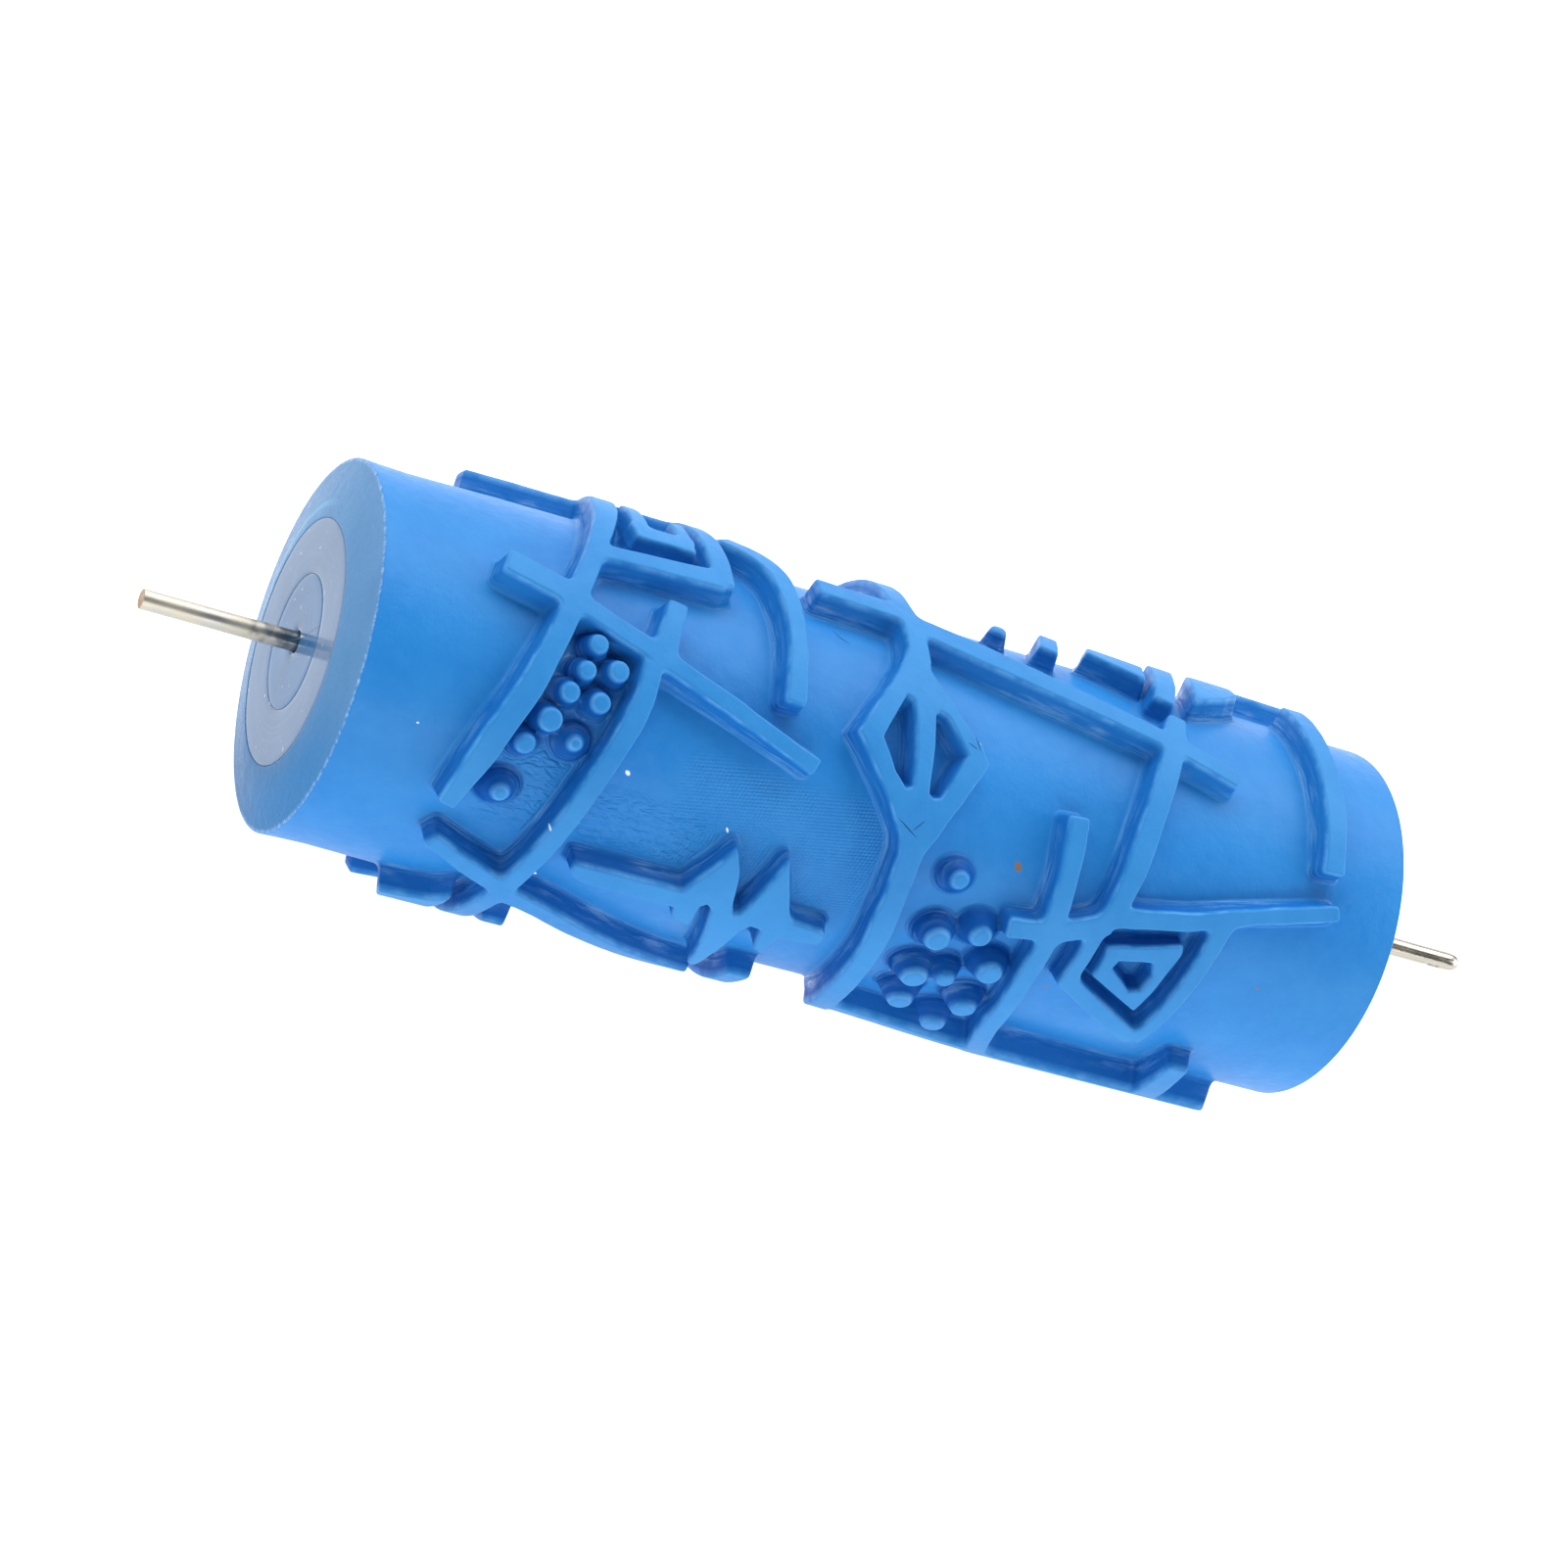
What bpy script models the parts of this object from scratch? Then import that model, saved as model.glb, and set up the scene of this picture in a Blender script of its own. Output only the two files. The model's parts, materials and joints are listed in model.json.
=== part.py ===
"""Textured pattern roller: a rubber sleeve with raised motifs on a hard core, turning on a loose steel axle."""

import math

import bmesh
import bpy
from mathutils import Matrix

MM = 0.001

# Sleeve, in millimetres and degrees. An angle of 0 is at the top, and it grows towards -Y.
BASE_R = 28.0
LAND_R = 32.0
SLEEVE_BORE_R = 18.3
RIM_X = 85.35
END_X = 86.9
TAPER_LENGTH = 10.0
TAPER_DROP = 0.5
RIM_ROUND = 0.9
DRAFT = 0.55
ROOT_R = 26.6
FLOOR_LIFT = 0.05
TRIM_MARGIN = 0.3
LEVEL_STEP = 0.01
BISECT_SNAP = 0.02
WELD = 0.01
SEAM_DEG = -126.0
STEP_DEG = 6.0
STEPS = 60
PIN_SIDES = 10

# Core, plugs and bushes.
CORE_OUTER_R = 17.95
CORE_INNER_R = 14.3
CORE_HALF_LENGTH = 83.4
PLUG_OUTER_R = 17.95
PLUG_SPIGOT_R = 13.95
PLUG_BORE_R = 10.15
PLUG_FLANGE = 3.1
PLUG_LENGTH = 15.0
BUSH_OUTER_R = 9.85
BUSH_BORE_R = 1.56
BUSH_LENGTH = 16.0
EDGE_BREAK = 0.4

# Axle.
AXLE_R = 1.5
AXLE_LEFT_X = -110.05
AXLE_RIGHT_X = 116.5
AXLE_TIP_LENGTH = 2.4
AXLE_TIP_FLAT_R = 0.5
ROUND_STEPS = 48

# Where the roller's own centre stands in the frame.
MID_X = -(AXLE_LEFT_X + AXLE_RIGHT_X) / 2
AXIS_Z = LAND_R * math.cos(math.radians(STEP_DEG))

# Ridges: (position along the axle, angle, width) at each bend of the centre line.
RIDGES = [
    # near end, long leaning ridge and its crossings
    [(-50.5, -80, 3.4), (-47.4, -60, 3.4), (-47.6, -40, 3.6), (-51.1, -10, 3.7), (-52.8, 0, 3.1),
     (-56.5, 20, 3.0), (-61.8, 50, 3.7), (-65.6, 70, 3.8), (-68.0, 87.5, 2.6)],
    [(-68.3, 20.3, 3.8), (-58.0, 25.0, 3.5)],
    [(-58.0, 26.0, 3.0), (-44.0, 35.0, 3.0), (-30.0, 43.9, 2.5), (-17.2, 52.4, 2.7)],
    [(-43.4, 34.0, 3.7), (-41.7, 18.4, 3.0)],
    [(-44.9, 37.0, 3.2), (-45.1, 45.0, 3.2), (-49.4, 75.0, 3.1), (-52.6, 105.0, 3.1),
     (-53.7, 125.0, 3.3), (-53.0, 172.0, 3.4)],
    [(-67.4, 99.8, 2.6), (-54.0, 111.5, 3.3)],
    [(-53.5, 113.5, 3.6), (-46.0, 118.2, 3.6), (-37.0, 126.5, 3.8), (-26.0, 137.0, 3.8), (-16.5, 144.0, 3.8)],
    [(-66.6, -50.3, 3.5), (-47.8, -49.0, 3.5)],
    # box with an open frame in it
    [(-53.5, 8.0, 3.1), (-34.0, 5.3, 3.6)],
    [(-33.8, 7.0, 3.3), (-33.7, -10.0, 3.3), (-34.0, -42.0, 3.4)],
    [(-47.6, -42.0, 3.2), (-33.0, -41.0, 3.2)],
    [(-46.9, -6.8, 4.0), (-37.4, -6.8, 4.0)],
    [(-45.6, -8.0, 2.6), (-44.2, -30.0, 2.6)],
    [(-38.4, -8.0, 2.1), (-38.0, -22.0, 2.1)],
    # hooked arc and the bar beside it
    [(-22.3, 37.5, 3.1), (-22.3, 20.0, 3.1), (-22.9, 5.0, 3.3), (-23.9, -6.0, 3.5), (-26.0, -14.0, 3.8),
     (-30.5, -21.0, 3.8)],
    [(-17.2, -6.0, 4.4), (-2.0, -5.0, 4.4)],
    [(-2.4, -66.0, 3.6), (-1.6, -48.0, 4.0), (-1.6, -36.0, 4.2), (-2.5, -12.0, 3.7), (-2.0, 0.0, 3.4),
     (-2.0, 14.0, 3.6)],
    # shaft below the diamond
    [(0.9, 63.0, 3.6), (1.6, 85.0, 3.6), (2.6, 100.0, 3.6), (3.2, 115.0, 3.8), (4.0, 125.0, 3.9),
     (6.3, 142.0, 3.9), (8.0, 150.0, 3.8), (10.2, 160.0, 3.6), (12.5, 172.0, 3.5)],
    # long bar to the far end and its crossing
    [(-2.0, -1.0, 4.3), (10.0, 3.9, 4.3), (20.0, 8.1, 3.9), (30.0, 12.1, 3.5), (45.0, 18.3, 3.1), (53.0, 23.0, 2.7)],
    [(43.3, 6.3, 3.0), (42.4, 12.0, 3.6), (41.3, 20.0, 3.6), (38.5, 40.0, 3.8), (36.3, 65.0, 3.4), (35.5, 71.0, 3.4)],
    [(36.0, 69.5, 3.0), (48.0, 65.5, 3.0), (60.0, 58.8, 2.6), (72.8, 52.3, 2.4)],
    [(26.0, 46.0, 3.1), (27.0, 70.0, 3.3), (27.3, 80.0, 3.4)],
    [(20.6, 80.2, 3.2), (28.0, 77.8, 3.4), (36.0, 71.5, 3.4)],
    [(27.4, 80.0, 3.2), (27.5, 95.0, 3.0), (28.1, 105.0, 3.2), (29.2, 120.0, 3.3), (31.5, 132.0, 3.2),
     (34.5, 145.0, 3.3), (37.0, 172.0, 3.3)],
    # open eye
    [(34.6, 73.0, 2.3), (33.8, 92.5, 2.4)],
    [(33.6, 91.0, 2.9), (50.2, 106.5, 3.0)],
    [(54.2, 63.5, 3.2), (50.6, 107.0, 2.2)],
    # far end
    [(70.7, 42.0, 3.7), (70.5, 20.0, 3.6), (70.2, 0.0, 3.8), (70.3, -12.0, 4.0), (70.6, -23.0, 4.0)],
    [(58.5, -41.5, 3.4), (75.5, -43.5, 3.4)],
    [(61.7, 114.5, 3.4), (62.3, 128.0, 4.2), (64.0, 142.0, 4.0), (66.0, 172.0, 3.4)],
    [(6.0, 134.5, 3.4), (46.0, 140.0, 3.4), (75.0, 141.5, 3.4)],
    # stubs that stand over the far edge
    [(22.9, -8.8, 3.2), (25.3, -20.4, 3.2)],
    [(41.8, 0.6, 3.4), (43.8, -10.0, 3.8), (46.4, -25.0, 4.4)],
    [(-11.2, 126.0, 3.8), (-10.6, 158.0, 3.6)],
    [(-47.4, 142.0, 3.4), (-46.8, 158.0, 3.4)],
    # underside
    [(-66.7, 167.4, 3.35), (-57.0, 169.6, 3.35), (-50.0, 171.0, 3.35), (-18.0, 171.0, 3.35)],
    [(12.5, 171.0, 3.35), (71.0, 171.0, 3.35)],
    [(-68.0, 189.0, 3.35), (-8.0, 189.0, 3.35)],
    [(12.0, 189.0, 3.35), (64.0, 189.0, 3.35)],
    [(-66.0, 187.0, 3.2), (-58.0, 226.0, 3.0)],
    [(-37.0, 190.0, 3.2), (-46.0, 208.0, 3.0), (-36.0, 226.5, 3.0)],
    [(-37.0, 225.5, 3.0), (-27.0, 208.0, 3.0), (-36.0, 190.5, 3.2)],
    [(-10.0, 200.0, 3.4), (-6.0, 226.0, 3.0)],
    [(14.0, 189.0, 3.2), (19.0, 224.0, 2.8), (25.0, 200.0, 3.0), (31.0, 224.0, 2.8), (36.0, 189.0, 3.2)],
    [(70.0, 198.0, 3.4), (68.5, 226.0, 3.2)],
    # back
    [(-70.0, -70.0, 3.4), (-69.0, -88.0, 3.4), (-64.0, -114.0, 3.2)],
    [(-49.0, -73.0, 3.0), (-20.0, -69.0, 3.0), (-2.4, -68.0, 3.2)],
    [(-2.4, -68.0, 3.4), (14.0, -76.0, 3.2), (40.0, -69.0, 3.2), (66.0, -72.0, 3.0)],
    [(-52.0, -116.0, 3.0), (-40.0, -88.0, 3.0), (-26.0, -116.0, 3.0)],
    [(-14.0, -82.0, 3.2), (-16.0, -116.0, 3.0)],
    [(18.0, -84.0, 3.0), (16.0, -116.0, 3.0)],
    [(14.0, -114.0, 3.0), (48.0, -112.0, 3.0)],
    [(46.0, -114.0, 3.0), (42.0, -68.0, 3.0)],
    [(62.0, -70.0, 3.2), (68.0, -114.0, 3.0)],
    [(68.5, -44.0, 3.4), (64.0, -73.0, 3.0)],
]

# Flat-topped blocks with a free outline: (position along the axle, angle) at each corner.
BLOCKS = [
    # spikes on a bar, with three short legs
    [(-46.4, 94.9), (-29.3, 94.7), (-25.3, 79.8), (-24.8, 78.3), (-24.2, 79.8), (-22.7, 85.0), (-21.1, 95.0),
     (-20.3, 97.8), (-19.5, 97.4), (-18.6, 92.0), (-16.9, 78.8), (-16.4, 77.8), (-14.2, 86.5), (-12.1, 94.4),
     (-11.0, 95.7), (-6.1, 96.2), (-5.3, 98.0), (-5.4, 101.4), (-11.8, 101.8), (-12.4, 110.0), (-13.7, 109.6),
     (-15.1, 101.4), (-16.8, 101.0), (-17.6, 104.0), (-18.2, 117.0), (-18.2, 127.5), (-19.4, 127.5),
     (-20.7, 118.5), (-23.6, 98.6), (-24.8, 97.0), (-25.6, 98.4), (-25.2, 106.3), (-28.2, 105.4),
     (-29.1, 101.2), (-44.4, 100.7), (-46.2, 98.4)],
    # plate at the near end
    [(-58.2, 124.0), (-60.2, 129.5), (-63.8, 132.2), (-67.2, 133.8), (-66.0, 142.0), (-63.6, 153.0), (-57.6, 156.0)],
    # blocks over the far edge
    [(31.0, -16.5), (40.0, -8.5), (41.8, -18.5), (32.7, -23.2)],
    [(48.3, -4.7), (55.4, -12.0), (58.7, -17.5), (60.3, -27.0), (54.0, -34.0), (50.6, -20.0)],
    # middle of the open eye
    [(37.3, 77.9), (48.7, 72.1), (49.1, 74.3), (46.8, 95.4), (37.2, 87.8)],
]

DIAMOND = [(-3.7, 8.0), (-4.6, 14.5), (-11.8, 39.8), (-5.2, 54.5), (-1.6, 63.5), (-0.9, 67.0), (2.7, 67.0),
           (5.0, 57.5), (7.6, 47.5), (9.9, 39.3), (8.2, 34.3), (5.2, 29.5), (1.0, 20.0), (-0.3, 16.5), (-0.4, 8.0)]

# Pockets cut down to the sleeve through the diamond and the eye.
POCKETS = [
    [(-4.5, 26.4), (-3.4, 27.2), (-2.9, 31.0), (-2.2, 44.0), (-1.9, 50.0), (-2.8, 50.9), (-5.0, 47.5),
     (-7.8, 39.5), (-6.8, 35.0)],
    [(0.3, 29.3), (1.0, 28.2), (2.3, 28.8), (3.2, 30.8), (6.1, 38.2), (4.6, 44.5), (3.1, 51.2), (2.0, 51.8),
     (1.1, 50.8)],
    [(39.4, 83.7), (39.8, 80.9), (45.3, 79.2), (46.2, 82.8), (45.7, 88.1), (43.9, 89.1)],
]

# Pins: (position along the axle, angle, top radius, foot radius, height above the sleeve).
PINS = [
    (-53.3, 36.4, 1.4, 2.2, 3.95), (-49.7, 42.0, 1.5, 2.3, 3.95), (-54.4, 43.9, 1.3, 2.2, 3.95),
    (-56.2, 50.5, 1.4, 2.3, 3.95), (-51.4, 51.2, 1.4, 2.4, 3.95), (-58.0, 58.6, 1.9, 2.5, 3.95),
    (-53.3, 60.4, 0.9, 2.4, 3.0), (-60.4, 66.3, 1.5, 2.4, 3.7), (-61.2, 78.6, 1.2, 2.8, 3.2),
    (10.4, 71.2, 1.5, 2.9, 3.4), (11.2, 89.6, 2.0, 3.1, 3.95), (17.4, 85.4, 1.6, 2.9, 3.8),
    (22.0, 96.2, 2.1, 2.8, 3.95), (11.8, 105.0, 2.2, 3.0, 3.95), (16.3, 102.4, 1.5, 2.2, 3.95),
    (22.8, 113.2, 2.2, 2.8, 3.95), (13.3, 117.6, 2.0, 2.8, 3.95), (21.6, 126.0, 2.0, 2.7, 3.95),
    (15.6, -15.4, 1.4, 2.6, 3.95), (48.0, 204.0, 1.8, 2.7, 3.95), (55.0, 201.0, 1.8, 2.7, 3.95),
    (51.0, 214.0, 1.8, 2.7, 3.95), (59.0, 211.0, 1.8, 2.7, 3.95), (28.0, -92.0, 1.8, 2.7, 3.95),
    (35.0, -100.0, 1.8, 2.7, 3.95), (26.0, -103.0, 1.8, 2.7, 3.95),
]


def clear_scene():
    for obj in list(bpy.data.objects):
        bpy.data.objects.remove(obj, do_unlink=True)


def material(name, color, roughness, metallic=0.0):
    made = bpy.data.materials.new(name)
    made.use_nodes = True
    shader = made.node_tree.nodes["Principled BSDF"]
    shader.inputs["Base Color"].default_value = (*color, 1.0)
    shader.inputs["Roughness"].default_value = roughness
    shader.inputs["Metallic"].default_value = metallic
    return made


def in_scene(obj):
    bpy.context.scene.collection.objects.link(obj)
    return obj


def shaded(name, mesh, surface, sharp_deg):
    """The finished object of one sub-part, smooth except across edges sharper than the angle."""
    mesh.name = name
    mesh.materials.append(surface)
    for face in mesh.polygons:
        face.use_smooth = True
    mesh.set_sharp_from_angle(angle=math.radians(sharp_deg))
    return in_scene(bpy.data.objects.new(name, mesh))


def evaluated(obj):
    """The object's mesh with its modifiers carried out."""
    bpy.context.view_layer.update()
    graph = bpy.context.evaluated_depsgraph_get()
    return bpy.data.meshes.new_from_object(obj.evaluated_get(graph))


def flat(x, deg):
    """A point of the pattern on the unrolled land, in millimetres."""
    return x, LAND_R * math.radians(deg)


def turned_normals(points, closed):
    """For each point, the mitred outward step for a unit offset to the right of the path."""
    steps = []
    count = len(points)
    for i, point in enumerate(points):
        before = points[i - 1] if closed or i > 0 else None
        after = points[(i + 1) % count] if closed or i < count - 1 else None
        sides = []
        for start, end in ((before, point), (point, after)):
            if start is None or end is None:
                continue
            dx = end[0] - start[0]
            dy = end[1] - start[1]
            length = math.hypot(dx, dy)
            sides.append((dy / length, -dx / length))
        nx = sum(side[0] for side in sides)
        ny = sum(side[1] for side in sides)
        length = math.hypot(nx, ny)
        nx /= length
        ny /= length
        lean = nx * sides[0][0] + ny * sides[0][1]
        scale = 1.0 / max(lean, 0.5)
        steps.append((nx * scale, ny * scale))
    return steps


def counter_clockwise(points):
    area = sum(a[0] * b[1] - b[0] * a[1] for a, b in zip(points, points[1:] + points[:1]))
    return points if area > 0 else points[::-1]


def grown(points, margin):
    """A closed outline moved outwards by the margin."""
    steps = turned_normals(points, True)
    return [(p[0] + s[0] * margin, p[1] + s[1] * margin) for p, s in zip(points, steps)]


def ridge_outline(ridge):
    path = [flat(x, deg) for x, deg, _ in ridge]
    steps = turned_normals(path, False)
    right = [(p[0] + s[0] * w[2] / 2, p[1] + s[1] * w[2] / 2) for p, s, w in zip(path, steps, ridge)]
    left = [(p[0] - s[0] * w[2] / 2, p[1] - s[1] * w[2] / 2) for p, s, w in zip(path, steps, ridge)]
    return counter_clockwise(right + left[::-1])


def add_prism(bm, lower, upper, z_low, z_high):
    bottom = [bm.verts.new((x, y, z_low)) for x, y in lower]
    top = [bm.verts.new((x, y, z_high)) for x, y in upper]
    bm.faces.new(bottom[::-1])
    bm.faces.new(top)
    for i in range(len(lower)):
        j = (i + 1) % len(lower)
        bm.faces.new((bottom[i], bottom[j], top[j], top[i]))


def add_land(bm, outline, order):
    """A drafted block from inside the sleeve to above the land, where it is trimmed. No two share a level."""
    slope = DRAFT / (LAND_R - BASE_R)
    low = ROOT_R - LEVEL_STEP * order
    high = LAND_R + TRIM_MARGIN + LEVEL_STEP * order
    add_prism(bm, grown(outline, slope * (LAND_R - low)), grown(outline, slope * (LAND_R - high)), low, high)


def add_pocket(bm, outline):
    """A cutter with its floor just above the sleeve, wider at the land."""
    slope = DRAFT / (LAND_R - BASE_R)
    top = LAND_R + 1.0
    floor = BASE_R + FLOOR_LIFT
    add_prism(bm, grown(outline, slope * (floor - LAND_R)), grown(outline, slope), floor, top)


def add_pin(bm, x, deg, top_r, foot_r, height):
    cx, cy = flat(x, deg)
    slope = (foot_r - top_r) / height
    rings = []
    for radius in (foot_r + slope * (BASE_R - ROOT_R), top_r):
        turns = [math.tau * k / PIN_SIDES for k in range(PIN_SIDES)]
        rings.append([(cx + radius * math.cos(a), cy + radius * math.sin(a)) for a in turns])
    add_prism(bm, rings[0], rings[1], ROOT_R, BASE_R + height)


def helper(name, bm):
    mesh = bpy.data.meshes.new(name)
    bmesh.ops.recalc_face_normals(bm, faces=bm.faces)
    bm.to_mesh(mesh)
    bm.free()
    obj = bpy.data.objects.new(name, mesh)
    obj.hide_render = True
    obj.display_type = "WIRE"
    return obj


def lands_tool():
    """A collection with one drafted block for each ridge, block and pin."""
    blanks = bpy.data.collections.new("lands_tool")
    bpy.context.scene.collection.children.link(blanks)
    outlines = [ridge_outline(ridge) for ridge in RIDGES]
    outlines += [counter_clockwise([flat(x, deg) for x, deg in block]) for block in BLOCKS + [DIAMOND]]
    for order, outline in enumerate(outlines):
        bm = bmesh.new()
        add_land(bm, outline, order)
        blanks.objects.link(helper(f"land_blank_{order}", bm))
    for order, pin in enumerate(PINS):
        bm = bmesh.new()
        add_pin(bm, *pin)
        blanks.objects.link(helper(f"pin_blank_{order}", bm))
    return blanks


def trim_tool():
    """A slab that takes off everything above the land."""
    bm = bmesh.new()
    low = LAND_R * math.radians(SEAM_DEG) - 5
    high = low + LAND_R * math.tau + 10
    corners = [(-END_X - 5, low), (END_X + 5, low), (END_X + 5, high), (-END_X - 5, high)]
    add_prism(bm, corners, corners, LAND_R, LAND_R + 10)
    return in_scene(helper("trim_tool", bm))


def pockets_tool():
    bm = bmesh.new()
    for pocket in POCKETS:
        add_pocket(bm, counter_clockwise([flat(x, deg) for x, deg in pocket]))
    return in_scene(helper("pockets_tool", bm))


def wall_section():
    """The sleeve's wall as (position along the axle, radius), round from the near end's bore."""
    half = [
        (END_X, SLEEVE_BORE_R),
        (RIM_X + 0.25, BASE_R - TAPER_DROP - 1.6),
        (RIM_X, BASE_R - TAPER_DROP - RIM_ROUND),
        (RIM_X - 0.3, BASE_R - TAPER_DROP - 0.3),
        (RIM_X - RIM_ROUND, BASE_R - TAPER_DROP),
        (RIM_X - TAPER_LENGTH, BASE_R),
    ]
    return [(-x, r) for x, r in half] + half[::-1]


def unrolled_wall():
    bm = bmesh.new()
    start = LAND_R * math.radians(SEAM_DEG)
    end = start + LAND_R * math.tau
    near = [bm.verts.new((x, start, r)) for x, r in wall_section()]
    far = [bm.verts.new((x, end, r)) for x, r in wall_section()]
    bm.faces.new(near)
    bm.faces.new(far[::-1])
    for i in range(len(near)):
        j = (i + 1) % len(near)
        bm.faces.new((near[j], near[i], far[i], far[j]))
    return in_scene(helper("unrolled_wall", bm))


def boolean(obj, name, operation):
    mod = obj.modifiers.new(name, "BOOLEAN")
    mod.operation = operation
    mod.solver = "EXACT"
    return mod


def rolled(mesh):
    """Bends the unrolled wall into a tube and joins its two ends."""
    bm = bmesh.new()
    bm.from_mesh(mesh)
    for k in range(1, STEPS):
        y = LAND_R * math.radians(SEAM_DEG + k * STEP_DEG)
        everything = bm.verts[:] + bm.edges[:] + bm.faces[:]
        bmesh.ops.bisect_plane(bm, geom=everything, dist=BISECT_SNAP, plane_co=(0, y, 0), plane_no=(0, 1, 0))
    start = LAND_R * math.radians(SEAM_DEG)
    end = start + LAND_R * math.tau
    caps = [f for f in bm.faces if all(abs(v.co.y - start) < 1e-4 or abs(v.co.y - end) < 1e-4 for v in f.verts)]
    bmesh.ops.delete(bm, geom=caps, context="FACES")
    bmesh.ops.remove_doubles(bm, verts=bm.verts, dist=WELD)
    bmesh.ops.triangulate(bm, faces=bm.faces[:])
    for vert in bm.verts:
        x, y, r = vert.co
        angle = y / LAND_R
        vert.co = (x * MM, -r * MM * math.sin(angle), r * MM * math.cos(angle))
    bmesh.ops.remove_doubles(bm, verts=bm.verts, dist=2e-6)
    bmesh.ops.recalc_face_normals(bm, faces=bm.faces)
    result = bpy.data.meshes.new("textured_sleeve")
    bm.to_mesh(result)
    bm.free()
    return result


def textured_sleeve():
    wall = unrolled_wall()
    union = boolean(wall, "lands", "UNION")
    union.operand_type = "COLLECTION"
    union.collection = lands_tool()
    boolean(wall, "trim", "DIFFERENCE").object = trim_tool()
    boolean(wall, "pockets", "DIFFERENCE").object = pockets_tool()
    mesh = rolled(evaluated(wall))
    clear_scene()
    obj = shaded("textured_sleeve", mesh, material("blue_rubber", (0.035, 0.26, 0.70), 0.42), 20)
    obj.location = (MID_X * MM, 0, AXIS_Z * MM)


def turned(name, profile, surface, ring):
    """A solid of revolution about the roller's axis. The profile is (radius, position), outer side downwards."""
    outline = bpy.data.meshes.new(name + "_profile")
    points = [(r * MM, 0, x * MM) for r, x in profile]
    links = [(i, i + 1) for i in range(len(points) - 1)]
    if ring:
        links.append((len(points) - 1, 0))
    outline.from_pydata(points, links, [])
    spun = in_scene(bpy.data.objects.new(name + "_profile", outline))
    screw = spun.modifiers.new("turn", "SCREW")
    screw.axis = "Z"
    screw.steps = ROUND_STEPS
    screw.render_steps = ROUND_STEPS
    screw.use_merge_vertices = True
    screw.merge_threshold = 0.00001
    mesh = evaluated(spun)
    bpy.data.objects.remove(spun, do_unlink=True)
    obj = shaded(name, mesh, surface, 30)
    place = Matrix.Translation((MID_X * MM, 0, AXIS_Z * MM))
    obj.matrix_world = place @ Matrix.Rotation(math.radians(90), 4, "Y")


def core_tube(surface):
    half = CORE_HALF_LENGTH
    profile = [(CORE_INNER_R, half), (CORE_OUTER_R, half), (CORE_OUTER_R, -half), (CORE_INNER_R, -half)]
    turned("core_tube", profile, surface, True)


def end_plug(name, side, surface):
    face = END_X * side
    flange = (END_X - PLUG_FLANGE) * side
    tail = (END_X - PLUG_LENGTH) * side
    profile = [
        (PLUG_BORE_R, face),
        (PLUG_OUTER_R - EDGE_BREAK, face),
        (PLUG_OUTER_R, face - EDGE_BREAK * side),
        (PLUG_OUTER_R, flange),
        (PLUG_SPIGOT_R, flange),
        (PLUG_SPIGOT_R, tail),
        (PLUG_BORE_R, tail),
    ]
    turned(name, profile if side > 0 else profile[::-1], surface, True)


def bush(name, side, surface):
    face = (END_X - 0.1) * side
    tail = (END_X - BUSH_LENGTH) * side
    profile = [
        (BUSH_BORE_R, face),
        (BUSH_OUTER_R - EDGE_BREAK, face),
        (BUSH_OUTER_R, face - EDGE_BREAK * side),
        (BUSH_OUTER_R, tail),
        (BUSH_BORE_R, tail),
    ]
    turned(name, profile if side > 0 else profile[::-1], surface, True)


def axle(surface):
    """Square cut at the near end, rounded with a small flat at the far end."""
    shoulder = AXLE_RIGHT_X - AXLE_TIP_LENGTH
    profile = [(0.0, AXLE_RIGHT_X)]
    for k in range(5):
        turn = math.radians(90 * k / 4)
        r = AXLE_TIP_FLAT_R + (AXLE_R - AXLE_TIP_FLAT_R) * math.sin(turn)
        profile.append((r, shoulder + AXLE_TIP_LENGTH * math.cos(turn)))
    profile.append((AXLE_R, AXLE_LEFT_X))
    profile.append((0.0, AXLE_LEFT_X))
    turned("axle", profile, surface, False)


def main():
    clear_scene()
    textured_sleeve()
    core_tube(material("core_plastic", (0.62, 0.64, 0.68), 0.4))
    plug_surface = material("plug_plastic", (0.36, 0.42, 0.60), 0.25)
    end_plug("left_end_plug", -1, plug_surface)
    end_plug("right_end_plug", 1, plug_surface.copy())
    bush_surface = material("bush_plastic", (0.24, 0.34, 0.52), 0.25)
    bush("left_bush", -1, bush_surface)
    bush("right_bush", 1, bush_surface.copy())
    axle(material("axle_steel", (0.62, 0.60, 0.55), 0.3, 1.0))


main()
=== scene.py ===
"""Looks of the textured pattern roller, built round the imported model.

The roller is worked out in millimetres. The camera, lights, floor and heights of the bumps are in metres.
"""

import itertools
import json
import math

import bpy
import numpy as np
from mathutils import Matrix, Vector
from mathutils.geometry import delaunay_2d_cdt


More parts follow.
